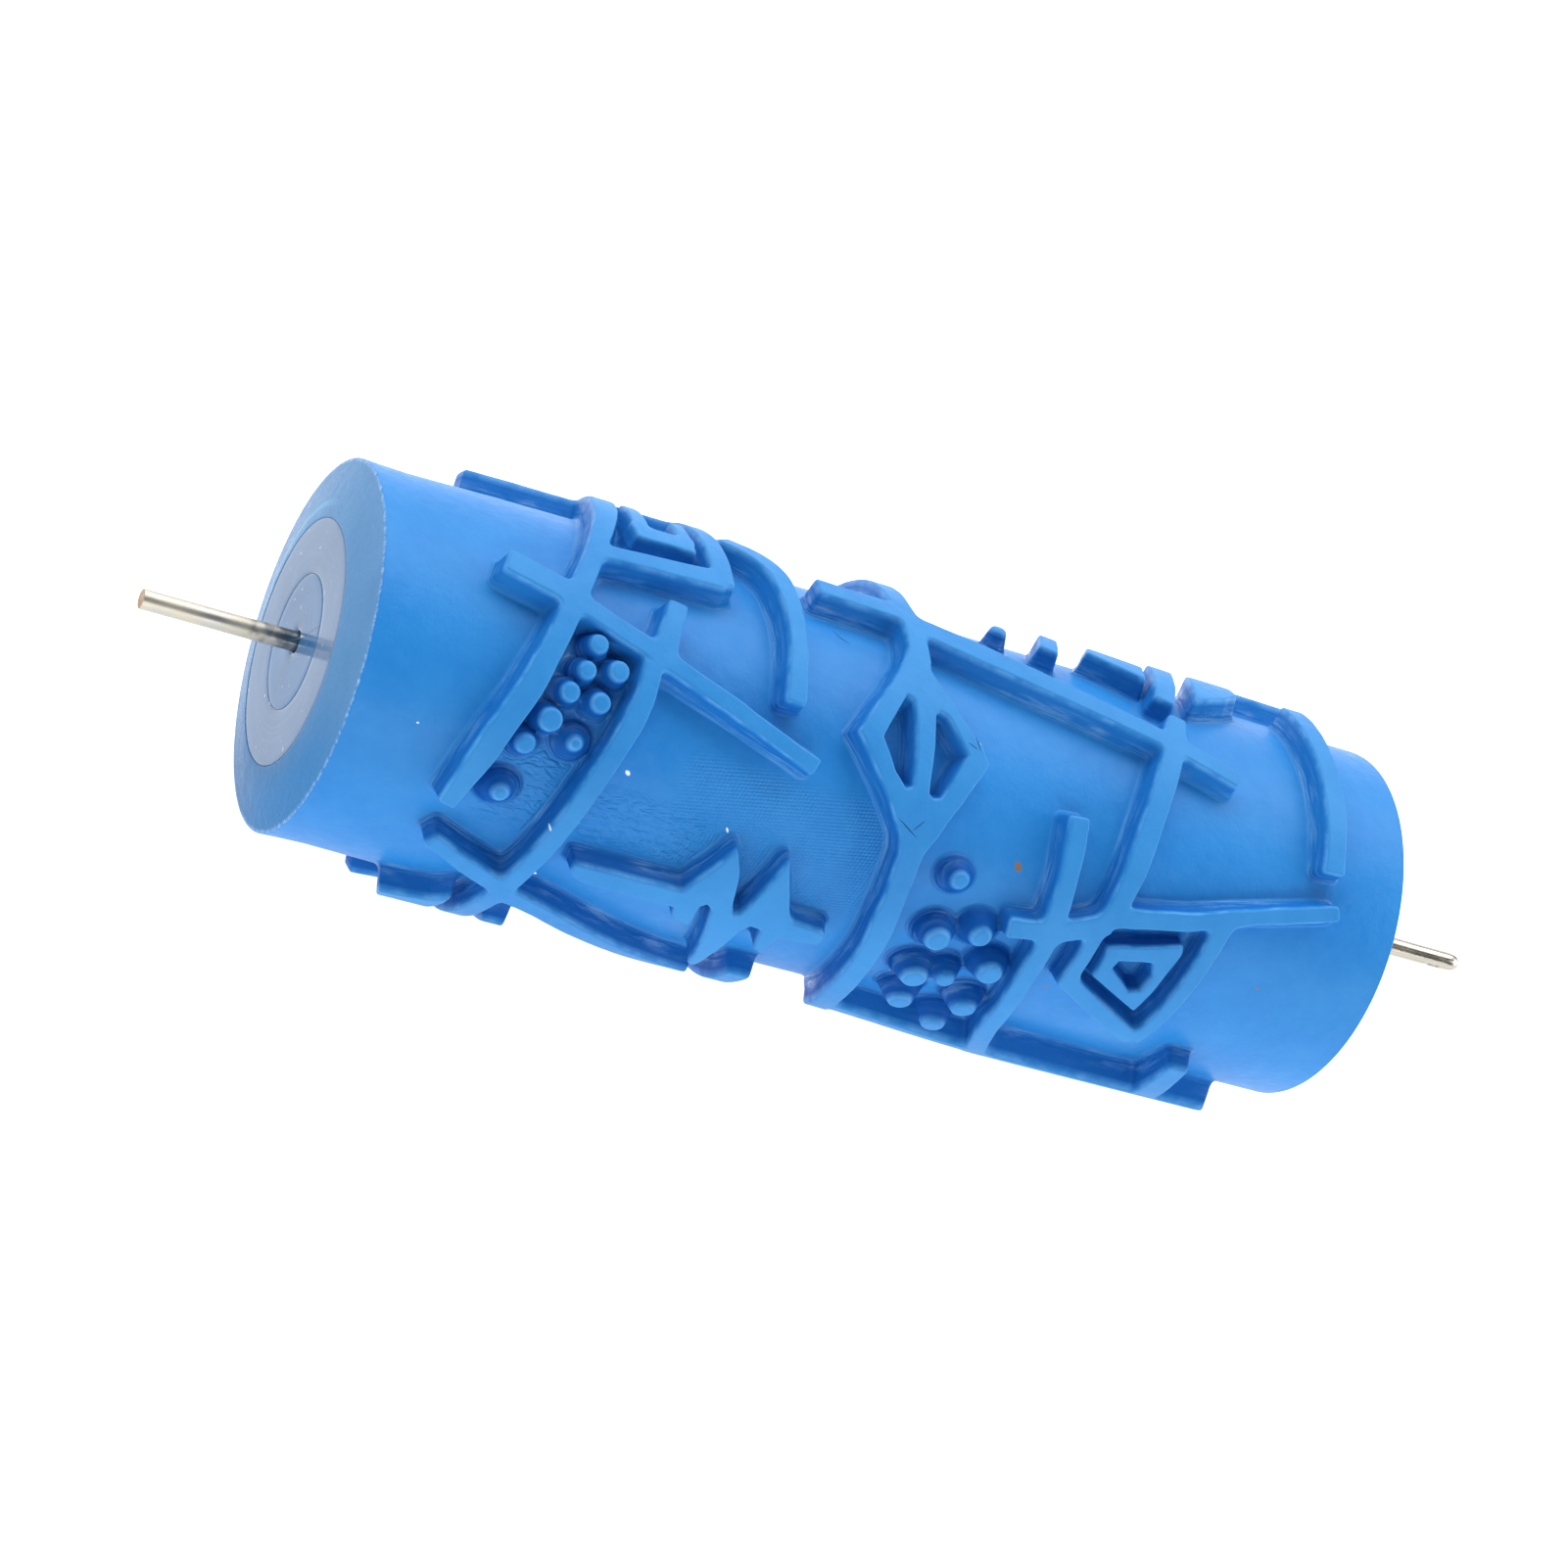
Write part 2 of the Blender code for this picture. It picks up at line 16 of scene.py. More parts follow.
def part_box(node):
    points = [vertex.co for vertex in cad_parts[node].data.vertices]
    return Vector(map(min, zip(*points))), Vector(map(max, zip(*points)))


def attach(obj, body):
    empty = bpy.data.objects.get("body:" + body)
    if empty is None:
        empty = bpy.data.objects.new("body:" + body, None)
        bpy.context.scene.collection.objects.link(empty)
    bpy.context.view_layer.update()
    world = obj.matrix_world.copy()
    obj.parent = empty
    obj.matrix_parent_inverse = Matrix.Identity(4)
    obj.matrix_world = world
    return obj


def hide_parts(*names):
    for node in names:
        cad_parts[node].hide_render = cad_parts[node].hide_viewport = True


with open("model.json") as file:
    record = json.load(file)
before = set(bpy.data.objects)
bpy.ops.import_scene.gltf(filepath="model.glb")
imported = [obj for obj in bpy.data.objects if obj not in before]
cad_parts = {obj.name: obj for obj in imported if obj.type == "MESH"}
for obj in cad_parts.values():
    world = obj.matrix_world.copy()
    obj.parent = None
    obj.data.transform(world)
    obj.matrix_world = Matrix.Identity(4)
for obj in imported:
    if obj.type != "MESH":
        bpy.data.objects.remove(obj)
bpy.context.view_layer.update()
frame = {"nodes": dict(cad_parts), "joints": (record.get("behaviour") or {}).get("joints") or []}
MM = 0.001
TO_MM = 1000.0

# Camera, in metres, solved from the outlines of the roller's ends, base and axle.
CAMERA_AT = (-0.262565, -0.472850, 0.340075)
CAMERA_RIGHT = (0.88000229, -0.18242258, 0.43854074)
CAMERA_UP = (-0.24388821, 0.61873784, 0.74678111)
CAMERA_BACK = (-0.40757149, -0.76412400, 0.50000000)
LENS = 94.51
SENSOR = 36.0

# Lights: (name, position, width, height, power in watts), all aimed at the middle of the roller.
LIGHTS = [
    ("top", (0.1, 0.5, 1.5), 2.8, 1.4, 44.0),
    ("back", (0.1, 1.5, 0.55), 2.8, 1.0, 12.5),
    ("right", (1.45, -0.2, 0.45), 1.6, 1.2, 18.0),
    ("left", (-1.25, 0.3, 0.9), 1.2, 0.9, 7.5),
    ("front_low", (-0.15, -1.25, 0.10), 2.2, 0.24, 8.5),
]
LIGHT_AIM = (0, 0, 0.03)
WORLD_STRENGTH = 0.13
FLOOR_HALF = 6.0
FLOOR_Z = -0.0002
FLOOR_GREY = (0.5, 0.5, 0.5, 1.0)
WHITE = (1.0, 1.0, 1.0, 1.0)

# The roller's axis in the frame.
SLEEVE_LOW, SLEEVE_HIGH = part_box("textured_sleeve")
MID_X = (SLEEVE_LOW.x + SLEEVE_HIGH.x) / 2
AXIS_Z = frame["joints"][0]["pos_m"][2]

# Sleeve: its radii, and the rims of its trimmed ends, which both sit a little to the right.
BASE_R = 28.0
LAND_R = 32.0
LAND_LIFT = 1.3
BORE_R = 18.3
RIM_X = 85.35
RIM_SHIFT = 0.4
RIM_ROUND = 0.25
# The end face, from the rim to inside the bore: (position, radius). Its shift fades between the two radii.
END_FACE = [(85.44, 26.9), (85.66, 25.6), (85.92, 23.9), (86.3, 21.6), (86.62, 19.8), (86.8, 18.7),
            (86.84, 18.45), (86.74, BORE_R), (86.2, BORE_R), (83.0, BORE_R)]
SHIFT_FULL_R = 26.9
SHIFT_NONE_R = 20.0
# The base is not quite even along its length: (position, radius).
BASE_STOPS = [(-84.9, 27.75), (-83.5, 27.65), (-78.0, 27.5), (-62.0, 27.8), (-45.0, 28.0), (15.0, 28.0),
              (50.0, 28.05), (78.0, 28.1), (85.9, 28.1)]

# The unrolled relief is a distance field on a grid, and its mesh follows the field's contours.
SEAM_DEG = -126.0
GRID = 0.25
FAR = 2.5
# corner radius of the ridges, and the reach of the fillets where outlines meet
CORNER = 0.4
FILLET = 1.3
BLOCK_FILLET = 0.4
POCKET_FILLET = 0.5
PIN_FILLET = 0.08
# slopes of the field over a pin's top and beyond its foot
PIN_TOP_SLOPE = 0.55
PIN_FOOT_SLOPE = 0.8
# how far outlines waver: (depth, scale, seed)
WAVERS = [(0.13, 5.0, 1), (0.06, 1.9, 2)]
# spacing along the contours: the longest step, the turn in degrees that counts as one, and the finest step
LONGEST = 1.0
TURN_DEG = 26.0
FINEST = 0.3
SHORTEST_LOOP = 2.0
# spacing over open ground and wide lands, and how far it keeps from the outermost and innermost contours
OPEN_STEP = 2.3
OPEN_CLEAR = 0.6
LAND_CLEAR = 0.5
RING_STEPS = 180
# radius that turns an angle into the materials' arc length
ARC_R = 30.0

# Turned pieces.
PLUG_FACE_X = 86.84
PLUG_DEPTH = 15.0
PLUG_FLANGE = 3.1
PLUG_R = 18.27
PLUG_NECK_R = 13.95
PLUG_BORE_R = 10.05
BUSH_RECESS = 0.02
BUSH_DEPTH = 15.9
BUSH_R = 10.02
BUSH_BORE_R = 1.58
# rounded edges and mouths of the bores: (depth below the face, distance from the wall)
PLUG_EDGE = [(0.20, 0.0), (0.07, 0.03), (0.02, 0.13), (0.0, 0.37)]
PLUG_MOUTH = [(0.0, 0.35), (0.03, 0.15), (0.12, 0.03), (0.5, 0.0)]
BUSH_EDGE = [(0.10, 0.0), (0.02, 0.12), (0.0, 0.32)]
BUSH_MOUTH = [(0.0, 0.72), (0.05, 0.37), (0.22, 0.08), (0.5, 0.02), (1.0, 0.0)]
# how far the middle of a face stands out
PLUG_RISE = 0.03
BUSH_RISE = -0.02
PLUG_STEPS = 128
AXLE_R = 1.49
AXLE_LEFT_X = -110.05
AXLE_RIGHT_X = 116.5
AXLE_TIP = 2.2
AXLE_STEPS = 64
# the axle's cut end: (distance from the end, radius)
AXLE_CUT = [(0.0, 0.0), (0.02, 0.7), (0.01, 1.2), (0.03, 1.36), (0.09, 1.46), (0.2, AXLE_R)]
# small nicks beside the rounded tip: (position, angle, depth, length, spread in degrees)
NICKS = [(111.0, 128.0, 0.34, 0.55, 20.0), (112.3, 116.0, 0.16, 0.5, 14.0)]
SHARP_DEG = 35.0

# The wall's section: (distance out from the land's outline, height, slope), and each is a line of vertices.
WALL_FOOT = 0.44
PROFILE = [
    (-0.46, 4.00, 0.0),
    (-0.24, 3.94, -0.5),
    (-0.08, 3.76, -2.0),
    (0.02, 3.44, -5.0),
    (0.23, 2.18, -4.8),
    (WALL_FOOT, 0.92, -4.6),
    (0.62, 0.48, -1.9),
    (0.92, 0.16, -0.6),
    (1.40, 0.0, 0.0),
]

RIDGES = [
    # near end, long leaning ridge and its crossings
    [(-50.5, -80, 3.4), (-47.4, -60, 3.4), (-47.6, -40, 3.6), (-51.1, -10, 3.7), (-52.8, 0, 3.1),
     (-56.5, 20, 3.0), (-61.8, 50, 3.7), (-65.6, 70, 3.8), (-68.0, 87.5, 2.6)],
    [(-68.3, 20.3, 3.8), (-58.0, 25.0, 3.5)],
    [(-58.0, 26.0, 3.0), (-44.0, 35.0, 3.0), (-30.0, 43.9, 2.5), (-17.2, 52.4, 2.7)],
    [(-43.4, 34.0, 3.7), (-41.7, 18.4, 3.0)],
    [(-44.9, 37.0, 3.2), (-45.1, 45.0, 3.2), (-49.4, 75.0, 3.1), (-52.6, 105.0, 3.1),
     (-53.7, 125.0, 3.3), (-53.0, 172.0, 3.4)],
    [(-67.4, 99.8, 2.6), (-54.0, 111.5, 3.3)],
    [(-53.5, 113.5, 3.6), (-46.0, 118.2, 3.6), (-37.0, 126.5, 3.8), (-26.0, 137.0, 3.8), (-16.5, 144.0, 3.8)],
    [(-66.6, -50.3, 3.5), (-47.8, -49.0, 3.5)],
    # box with an open frame in it
    [(-53.5, 8.0, 3.1), (-34.0, 5.3, 3.6)],
    [(-33.8, 7.0, 3.3), (-33.7, -10.0, 3.3), (-34.0, -42.0, 3.4)],
    [(-47.6, -42.0, 3.2), (-33.0, -41.0, 3.2)],
    [(-46.9, -6.8, 4.0), (-37.4, -6.8, 4.0)],
    [(-45.6, -8.0, 2.6), (-44.2, -30.0, 2.6)],
    [(-38.4, -8.0, 2.1), (-38.0, -22.0, 2.1)],
    # hooked arc and the bar beside it
    [(-22.3, 37.5, 3.1), (-22.3, 20.0, 3.1), (-22.9, 5.0, 3.3), (-23.9, -6.0, 3.5), (-26.0, -14.0, 3.8),
     (-30.5, -21.0, 3.8)],
    [(-17.2, -6.0, 4.4), (-2.0, -5.0, 4.4)],
    [(-2.4, -66.0, 3.6), (-1.6, -48.0, 4.0), (-1.6, -36.0, 4.2), (-2.5, -12.0, 3.7), (-2.0, 0.0, 3.4),
     (-2.0, 14.0, 3.6)],
    # shaft below the diamond
    [(0.9, 63.0, 3.6), (1.6, 85.0, 3.6), (2.6, 100.0, 3.6), (3.2, 115.0, 3.8), (4.0, 125.0, 3.9),
     (6.3, 142.0, 3.9), (8.0, 150.0, 3.8), (10.2, 160.0, 3.6), (12.5, 172.0, 3.5)],
    # long bar to the far end and its crossing
    [(-2.0, -1.0, 4.3), (10.0, 3.9, 4.3), (20.0, 8.1, 3.9), (30.0, 12.1, 3.5), (45.0, 18.3, 3.1),
     (53.0, 23.0, 2.7)],
    [(43.3, 6.3, 3.0), (42.4, 12.0, 3.6), (41.3, 20.0, 3.6), (38.5, 40.0, 3.8), (36.3, 65.0, 3.4),
     (35.5, 71.0, 3.4)],
    [(36.0, 69.5, 3.0), (48.0, 65.5, 3.0), (60.0, 58.8, 2.6), (72.8, 52.3, 2.4)],
    [(26.0, 46.0, 3.1), (27.0, 70.0, 3.3), (27.3, 80.0, 3.4)],
    [(20.6, 80.2, 3.2), (28.0, 77.8, 3.4), (36.0, 71.5, 3.4)],
    [(27.4, 80.0, 3.2), (27.5, 95.0, 3.0), (28.1, 105.0, 3.2), (29.2, 120.0, 3.3), (31.5, 132.0, 3.2),
     (34.5, 145.0, 3.3), (37.0, 172.0, 3.3)],
    # open eye
    [(34.6, 73.0, 2.3), (33.8, 92.5, 2.4)],
    [(33.6, 91.0, 2.9), (50.2, 106.5, 3.0)],
    [(54.2, 63.5, 3.2), (50.6, 107.0, 2.2)],
    # far end
    [(70.7, 42.0, 3.7), (70.5, 20.0, 3.6), (70.2, 0.0, 3.8), (70.3, -12.0, 4.0), (70.6, -23.0, 4.0)],
    [(58.5, -41.5, 3.4), (75.5, -43.5, 3.4)],
    [(61.7, 114.5, 3.4), (62.3, 128.0, 4.2), (64.0, 142.0, 4.0), (66.0, 172.0, 3.4)],
    [(6.0, 134.5, 3.4), (46.0, 140.0, 3.4), (75.0, 141.5, 3.4)],
    # stubs that stand over the far edge
    [(22.9, -8.8, 3.2), (25.3, -20.4, 3.2)],
    [(41.8, 0.6, 3.4), (43.8, -10.0, 3.8), (46.4, -25.0, 4.4)],
    [(-11.2, 126.0, 3.8), (-10.6, 158.0, 3.6)],
    [(-47.4, 142.0, 3.4), (-46.8, 158.0, 3.4)],
    # underside
    [(-66.7, 167.4, 3.35), (-57.0, 169.6, 3.35), (-50.0, 171.0, 3.35), (-18.0, 171.0, 3.35)],
    [(12.5, 171.0, 3.35), (71.0, 171.0, 3.35)],
    [(-68.0, 189.0, 3.35), (-8.0, 189.0, 3.35)],
    [(12.0, 189.0, 3.35), (64.0, 189.0, 3.35)],
    [(-66.0, 187.0, 3.2), (-58.0, 226.0, 3.0)],
    [(-37.0, 190.0, 3.2), (-46.0, 208.0, 3.0), (-36.0, 226.5, 3.0)],
    [(-37.0, 225.5, 3.0), (-27.0, 208.0, 3.0), (-36.0, 190.5, 3.2)],
    [(-10.0, 200.0, 3.4), (-6.0, 226.0, 3.0)],
    [(14.0, 189.0, 3.2), (19.0, 224.0, 2.8), (25.0, 200.0, 3.0), (31.0, 224.0, 2.8), (36.0, 189.0, 3.2)],
    [(70.0, 198.0, 3.4), (68.5, 226.0, 3.2)],
    # back
    [(-70.0, -70.0, 3.4), (-69.0, -88.0, 3.4), (-64.0, -114.0, 3.2)],
    [(-49.0, -73.0, 3.0), (-20.0, -69.0, 3.0), (-2.4, -68.0, 3.2)],
    [(-2.4, -68.0, 3.4), (14.0, -76.0, 3.2), (40.0, -69.0, 3.2), (66.0, -72.0, 3.0)],
    [(-52.0, -116.0, 3.0), (-40.0, -88.0, 3.0), (-26.0, -116.0, 3.0)],
    [(-14.0, -82.0, 3.2), (-16.0, -116.0, 3.0)],
    [(18.0, -84.0, 3.0), (16.0, -116.0, 3.0)],
    [(14.0, -114.0, 3.0), (48.0, -112.0, 3.0)],
    [(46.0, -114.0, 3.0), (42.0, -68.0, 3.0)],
    [(62.0, -70.0, 3.2), (68.0, -114.0, 3.0)],
    [(68.5, -44.0, 3.4), (64.0, -73.0, 3.0)],
]

# Solid outlines: (position along the axle, angle).
BLOCKS = [
    # spikes on a bar, with three short legs
    [(-46.4, 94.9), (-29.3, 94.7), (-25.3, 79.8), (-24.8, 78.3), (-24.2, 79.8), (-22.7, 85.0), (-21.1, 95.0),
     (-20.3, 97.8), (-19.5, 97.4), (-18.6, 92.0), (-16.9, 78.8), (-16.4, 77.8), (-14.2, 86.5), (-12.1, 94.4),
     (-11.0, 95.7), (-6.1, 96.2), (-5.3, 98.0), (-5.4, 101.4), (-11.8, 101.8), (-12.4, 110.0), (-13.7, 109.6),
     (-15.1, 101.4), (-16.8, 101.0), (-17.6, 104.0), (-18.2, 117.0), (-18.2, 127.5), (-19.4, 127.5),
     (-20.7, 118.5), (-23.6, 98.6), (-24.8, 97.0), (-25.6, 98.4), (-25.2, 106.3), (-28.2, 105.4),
     (-29.1, 101.2), (-44.4, 100.7), (-46.2, 98.4)],
    # plate at the near end
    [(-58.2, 124.0), (-60.2, 129.5), (-63.8, 132.2), (-67.2, 133.8), (-66.0, 142.0), (-63.6, 153.0),
     (-57.6, 156.0)],
    # blocks over the far edge
    [(31.0, -16.5), (40.0, -8.5), (41.8, -18.5), (32.7, -23.2)],
    [(48.3, -4.7), (55.4, -12.0), (58.7, -17.5), (60.3, -27.0), (54.0, -34.0), (50.6, -20.0)],
    # middle of the open eye
    [(37.3, 77.9), (48.7, 72.1), (49.1, 74.3), (46.8, 95.4), (37.2, 87.8)],
    # diamond
    [(-3.7, 8.0), (-4.6, 14.5), (-11.8, 39.8), (-5.2, 54.5), (-1.6, 63.5), (-0.9, 67.0), (2.7, 67.0),
     (5.0, 57.5), (7.6, 47.5), (9.9, 39.3), (8.2, 34.3), (5.2, 29.5), (1.0, 20.0), (-0.3, 16.5), (-0.4, 8.0)],
]

# Pockets through the diamond and through the middle of the eye.
POCKETS = [
    [(-4.5, 26.4), (-3.4, 27.2), (-2.9, 31.0), (-2.2, 44.0), (-1.9, 50.0), (-2.8, 50.9), (-5.0, 47.5),
     (-7.8, 39.5), (-6.8, 35.0)],
    [(0.3, 29.3), (1.0, 28.2), (2.3, 28.8), (3.2, 30.8), (6.1, 38.2), (4.6, 44.5), (3.1, 51.2), (2.0, 51.8),
     (1.1, 50.8)],
    [(39.4, 83.7), (39.8, 80.9), (45.3, 79.2), (46.2, 82.8), (45.7, 88.1), (43.9, 89.1)],
]

# Pins: (position along the axle, angle, top radius, foot radius, height above the sleeve).
PINS = [
    (-53.3, 36.4, 1.4, 2.4, 3.95), (-49.7, 42.0, 1.5, 2.4, 3.95), (-54.4, 43.9, 1.3, 2.3, 3.95),
    (-56.2, 50.5, 1.4, 2.4, 3.95), (-51.4, 51.2, 1.4, 2.5, 3.95), (-58.0, 58.6, 1.7, 2.6, 3.95),
    (-53.2, 63.0, 0.9, 3.0, 3.1), (-60.4, 66.3, 1.4, 2.6, 3.7), (-61.0, 81.2, 1.1, 3.2, 3.2),
    (10.4, 71.2, 1.3, 2.9, 3.4), (11.2, 89.6, 1.8, 3.4, 3.95), (17.4, 85.4, 1.5, 3.3, 3.8),
    (22.0, 96.2, 1.9, 3.4, 3.95), (11.8, 105.0, 1.9, 3.6, 3.95), (16.3, 102.4, 1.4, 2.8, 3.95),
    (22.8, 113.2, 1.9, 3.4, 3.95), (13.3, 117.6, 1.8, 3.4, 3.95), (21.6, 126.0, 1.8, 3.3, 3.95),
    (15.6, -15.4, 1.3, 2.0, 3.8), (48.0, 204.0, 1.8, 2.7, 3.95), (55.0, 201.0, 1.8, 2.7, 3.95),
    (51.0, 214.0, 1.8, 2.7, 3.95), (59.0, 211.0, 1.8, 2.7, 3.95), (28.0, -92.0, 1.8, 2.7, 3.95),
    (35.0, -100.0, 1.8, 2.7, 3.95), (26.0, -103.0, 1.8, 2.7, 3.95),
]

# Marks on the rubber: (position along the axle, angle, half length, half width, turn in degrees), in mm. The
# white ones are partly flecks and partly painted glints on edges.
WHITE_FLECKS_AND_GLINTS = [(-43.3, 67.8, 0.50, 0.34, 40), (8.2, 34.0, 0.40, 0.28, 0), (-25.8, 76.5, 0.45, 0.18, 60),
                (-52.3, 86.5, 0.26, 0.15, 70), (-48.5, 110.8, 0.30, 0.22, 20), (-75.0, 70.0, 0.22, 0.16, 0)]
BROWN_SPECKS = [(20.0, 64.0, 0.90, 0.60, 60), (34.0, 101.5, 0.30, 0.28, 0), (66.0, 81.5, 0.28, 0.25, 0)]
HAIRLINES = [(-1.0, 61.0, 2.2, 0.10, 28), (0.6, 59.6, 1.2, 0.09, -50), (7.4, 34.2, 1.3, 0.10, 62),
             (6.6, 35.4, 1.0, 0.09, 20), (-13.2, 5.0, 1.2, 0.10, 50), (-12.2, 6.5, 1.2, 0.10, 30)]

# Plastics: (dark, light, gloss).
PLUG_LOOK = ((0.092, 0.160, 0.278), (0.112, 0.184, 0.310), 0.10)
BUSH_LOOK = ((0.026, 0.105, 0.245), (0.040, 0.128, 0.280), 0.15)
CORE_LOOK = ((0.55, 0.57, 0.60), (0.66, 0.68, 0.71), 0.4)

# Scratches on the bushes: (start, end, colour), as (y, z) in mm from the axle. Their half width is in metres.
SCRATCHES = {
    "left": [((4.5, -3.5), (-2.5, 3.0), (0.50, 0.62, 0.74)), ((-2.5, 3.0), (-6.5, 8.0), (0.01, 0.04, 0.10))],
    "right": [],
}
SCRATCH_HALF_WIDTH = 0.00012


# ---------------------------------------------------------------- camera and light

def make_camera():
    data = bpy.data.cameras.new("camera")
    data.sensor_fit = "HORIZONTAL"
    data.sensor_width = SENSOR
    data.lens = LENS
    data.clip_start = 0.01
    data.clip_end = 50.0
    camera = bpy.data.objects.new("camera", data)
    axes = Matrix((CAMERA_RIGHT, CAMERA_UP, CAMERA_BACK)).transposed()
    camera.matrix_world = Matrix.Translation(CAMERA_AT) @ axes.to_4x4()
    bpy.context.scene.collection.objects.link(camera)
    bpy.context.scene.camera = camera


def area_light(name, at, width, height, power):
    data = bpy.data.lights.new(name, "AREA")
    data.shape = "RECTANGLE"
    data.size = width
    data.size_y = height
    data.energy = power
    lamp = bpy.data.objects.new(name, data)
    lamp.location = at
    lamp.rotation_mode = "QUATERNION"
    lamp.rotation_quaternion = (Vector(LIGHT_AIM) - Vector(at)).to_track_quat("-Z", "Y")
    bpy.context.scene.collection.objects.link(lamp)


# ---------------------------------------------------------------- node helpers

class Nodes:
    """Short calls for building one material's nodes."""

    def __init__(self, name):
        self.material = bpy.data.materials.new(name)
        self.material.use_nodes = True
        self.tree = self.material.node_tree
        self.shader = self.tree.nodes["Principled BSDF"]

    def add(self, kind, inputs=None, **settings):
        node = self.tree.nodes.new(kind)
        for key, value in settings.items():
            setattr(node, key, value)
        for key, value in (inputs or {}).items():
            self.set(node.inputs[key], value)
        return node

    def set(self, socket, value):
        if isinstance(value, bpy.types.NodeSocket):
            self.tree.links.new(value, socket)
        else:
            socket.default_value = value

    def math(self, operation, a, b=0.0, clamp=False):
        node = self.add("ShaderNodeMath", {0: a, 1: b}, operation=operation, use_clamp=clamp)
        return node.outputs[0]

    def noise(self, vector, scale, detail=3.0, roughness=0.5, distortion=0.0):
        node = self.add("ShaderNodeTexNoise", {
            "Vector": vector, "Scale": scale, "Detail": detail, "Roughness": roughness,
            "Distortion": distortion})
        return node.outputs["Fac"]

    def span(self, value, low, high, to_low=0.0, to_high=1.0):
        node = self.add("ShaderNodeMapRange", {
            "Value": value, "From Min": low, "From Max": high, "To Min": to_low, "To Max": to_high})
        return node.outputs["Result"]

    def mix(self, factor, a, b):
        node = self.add("ShaderNodeMix", data_type="RGBA")
        self.set(node.inputs[0], factor)
        for socket, value in ((node.inputs[6], a), (node.inputs[7], b)):
            self.set(socket, value if isinstance(value, bpy.types.NodeSocket) else (*value, 1.0))
        return node.outputs[2]

    def vector(self, x, y, z=0.0):
        return self.add("ShaderNodeCombineXYZ", {0: x, 1: y, 2: z}).outputs[0]

    def attribute(self, name):
        return self.add("ShaderNodeAttribute", attribute_name=name).outputs["Fac"]

    def product(self, *values):
        made = values[0]
        for value in values[1:]:
            made = self.math("MULTIPLY", made, value)
        return made

    def total(self, *values):
        made = values[0]
        for value in values[1:]:
            made = self.math("ADD", made, value)
        return made

    def band(self, value, low, high, soft):
        """1 between low and high, falling to 0 over the soft distance outside."""
        return self.math("MULTIPLY", self.span(value, low - soft, low), self.span(value, high + soft, high))

    def bump(self, height):
        """A normal for a height in metres."""
        node = self.add("ShaderNodeBump", {"Strength": 1.0, "Distance": 1.0, "Height": height})
        return node.outputs["Normal"]


# ---------------------------------------------------------------- floor and studio

def make_floor():
    side = FLOOR_HALF
    mesh = bpy.data.meshes.new("floor")
    corners = [(-side, -side, 0), (side, -side, 0), (side, side, 0), (-side, side, 0)]
    mesh.from_pydata(corners, [], [(0, 1, 2, 3)])
    floor = bpy.data.objects.new("floor", mesh)
    floor.location.z = FLOOR_Z
    bpy.context.scene.collection.objects.link(floor)
    n = Nodes("floor_paint")
    n.shader.inputs["Base Color"].default_value = FLOOR_GREY
    n.shader.inputs["Roughness"].default_value = 0.9
    n.shader.inputs["Specular IOR Level"].default_value = 0.1
    n.shader.inputs["Emission Color"].default_value = WHITE
    n.shader.inputs["Emission Strength"].default_value = 1.0
    mesh.materials.append(n.material)


def make_studio():
    make_floor()
    world = bpy.data.worlds.new("studio")
    world.use_nodes = True
    world.node_tree.nodes["Background"].inputs["Color"].default_value = WHITE
    world.node_tree.nodes["Background"].inputs["Strength"].default_value = WORLD_STRENGTH
    bpy.context.scene.world = world
    for light in LIGHTS:
        area_light(*light)
    bpy.context.scene.view_settings.view_transform = "Standard"


# ---------------------------------------------------------------- the sleeve's relief, unrolled

def flat(x, deg):
    """The place on the unrolled sleeve, in mm, of a position along the axle and an angle."""
    return x, LAND_R * math.radians(deg)


def smooth_path(points, step=1.5):
    """A rounded line through the points, each of them (x, y, width), with points about a step apart."""
    points = np.array(points, float)
    if len(points) == 2:
        count = max(2, int(np.hypot(*(points[1] - points[0])[:2]) / step))
        share = np.linspace(0, 1, count)[:, None]
        return points[0] * (1 - share) + points[1] * share
    ends = np.vstack([2 * points[0] - points[1], points, 2 * points[-1] - points[-2]])
    made = [points[:1]]
    for p0, p1, p2, p3 in zip(ends, ends[1:], ends[2:], ends[3:]):
        reach = np.hypot(*(p2 - p1)[:2])
        count = max(2, int(reach / step))
        before = max(np.hypot(*(p1 - p0)[:2]), 1e-6)
        after = max(np.hypot(*(p3 - p2)[:2]), 1e-6)
        m1 = ((p2 - p1) / reach + (p1 - p0) / before) / 2 * reach
        m2 = ((p3 - p2) / after + (p2 - p1) / reach) / 2 * reach
        t = (np.arange(1, count + 1) / count)[:, None]
        made.append((2 * t**3 - 3 * t**2 + 1) * p1 + (t**3 - 2 * t**2 + t) * m1
                    + (3 * t**2 - 2 * t**3) * p2 + (t**3 - t**2) * m2)
    return np.vstack(made)


def ridge_outline(ridge):
    """The ridge's outline drawn in by the corner radius, which the distance then gives back."""
    path = smooth_path([(*flat(x, deg), width) for x, deg, width in ridge])
    line = path[:, :2].copy()
    half = path[:, 2] / 2 - CORNER
    along = np.gradient(line, axis=0)
    along /= np.hypot(along[:, 0], along[:, 1])[:, None]
    line[0] += along[0] * CORNER
    line[-1] -= along[-1] * CORNER
    side = np.stack([along[:, 1], -along[:, 0]], 1) * half[:, None]
    return np.vstack([line + side, (line - side)[::-1]])


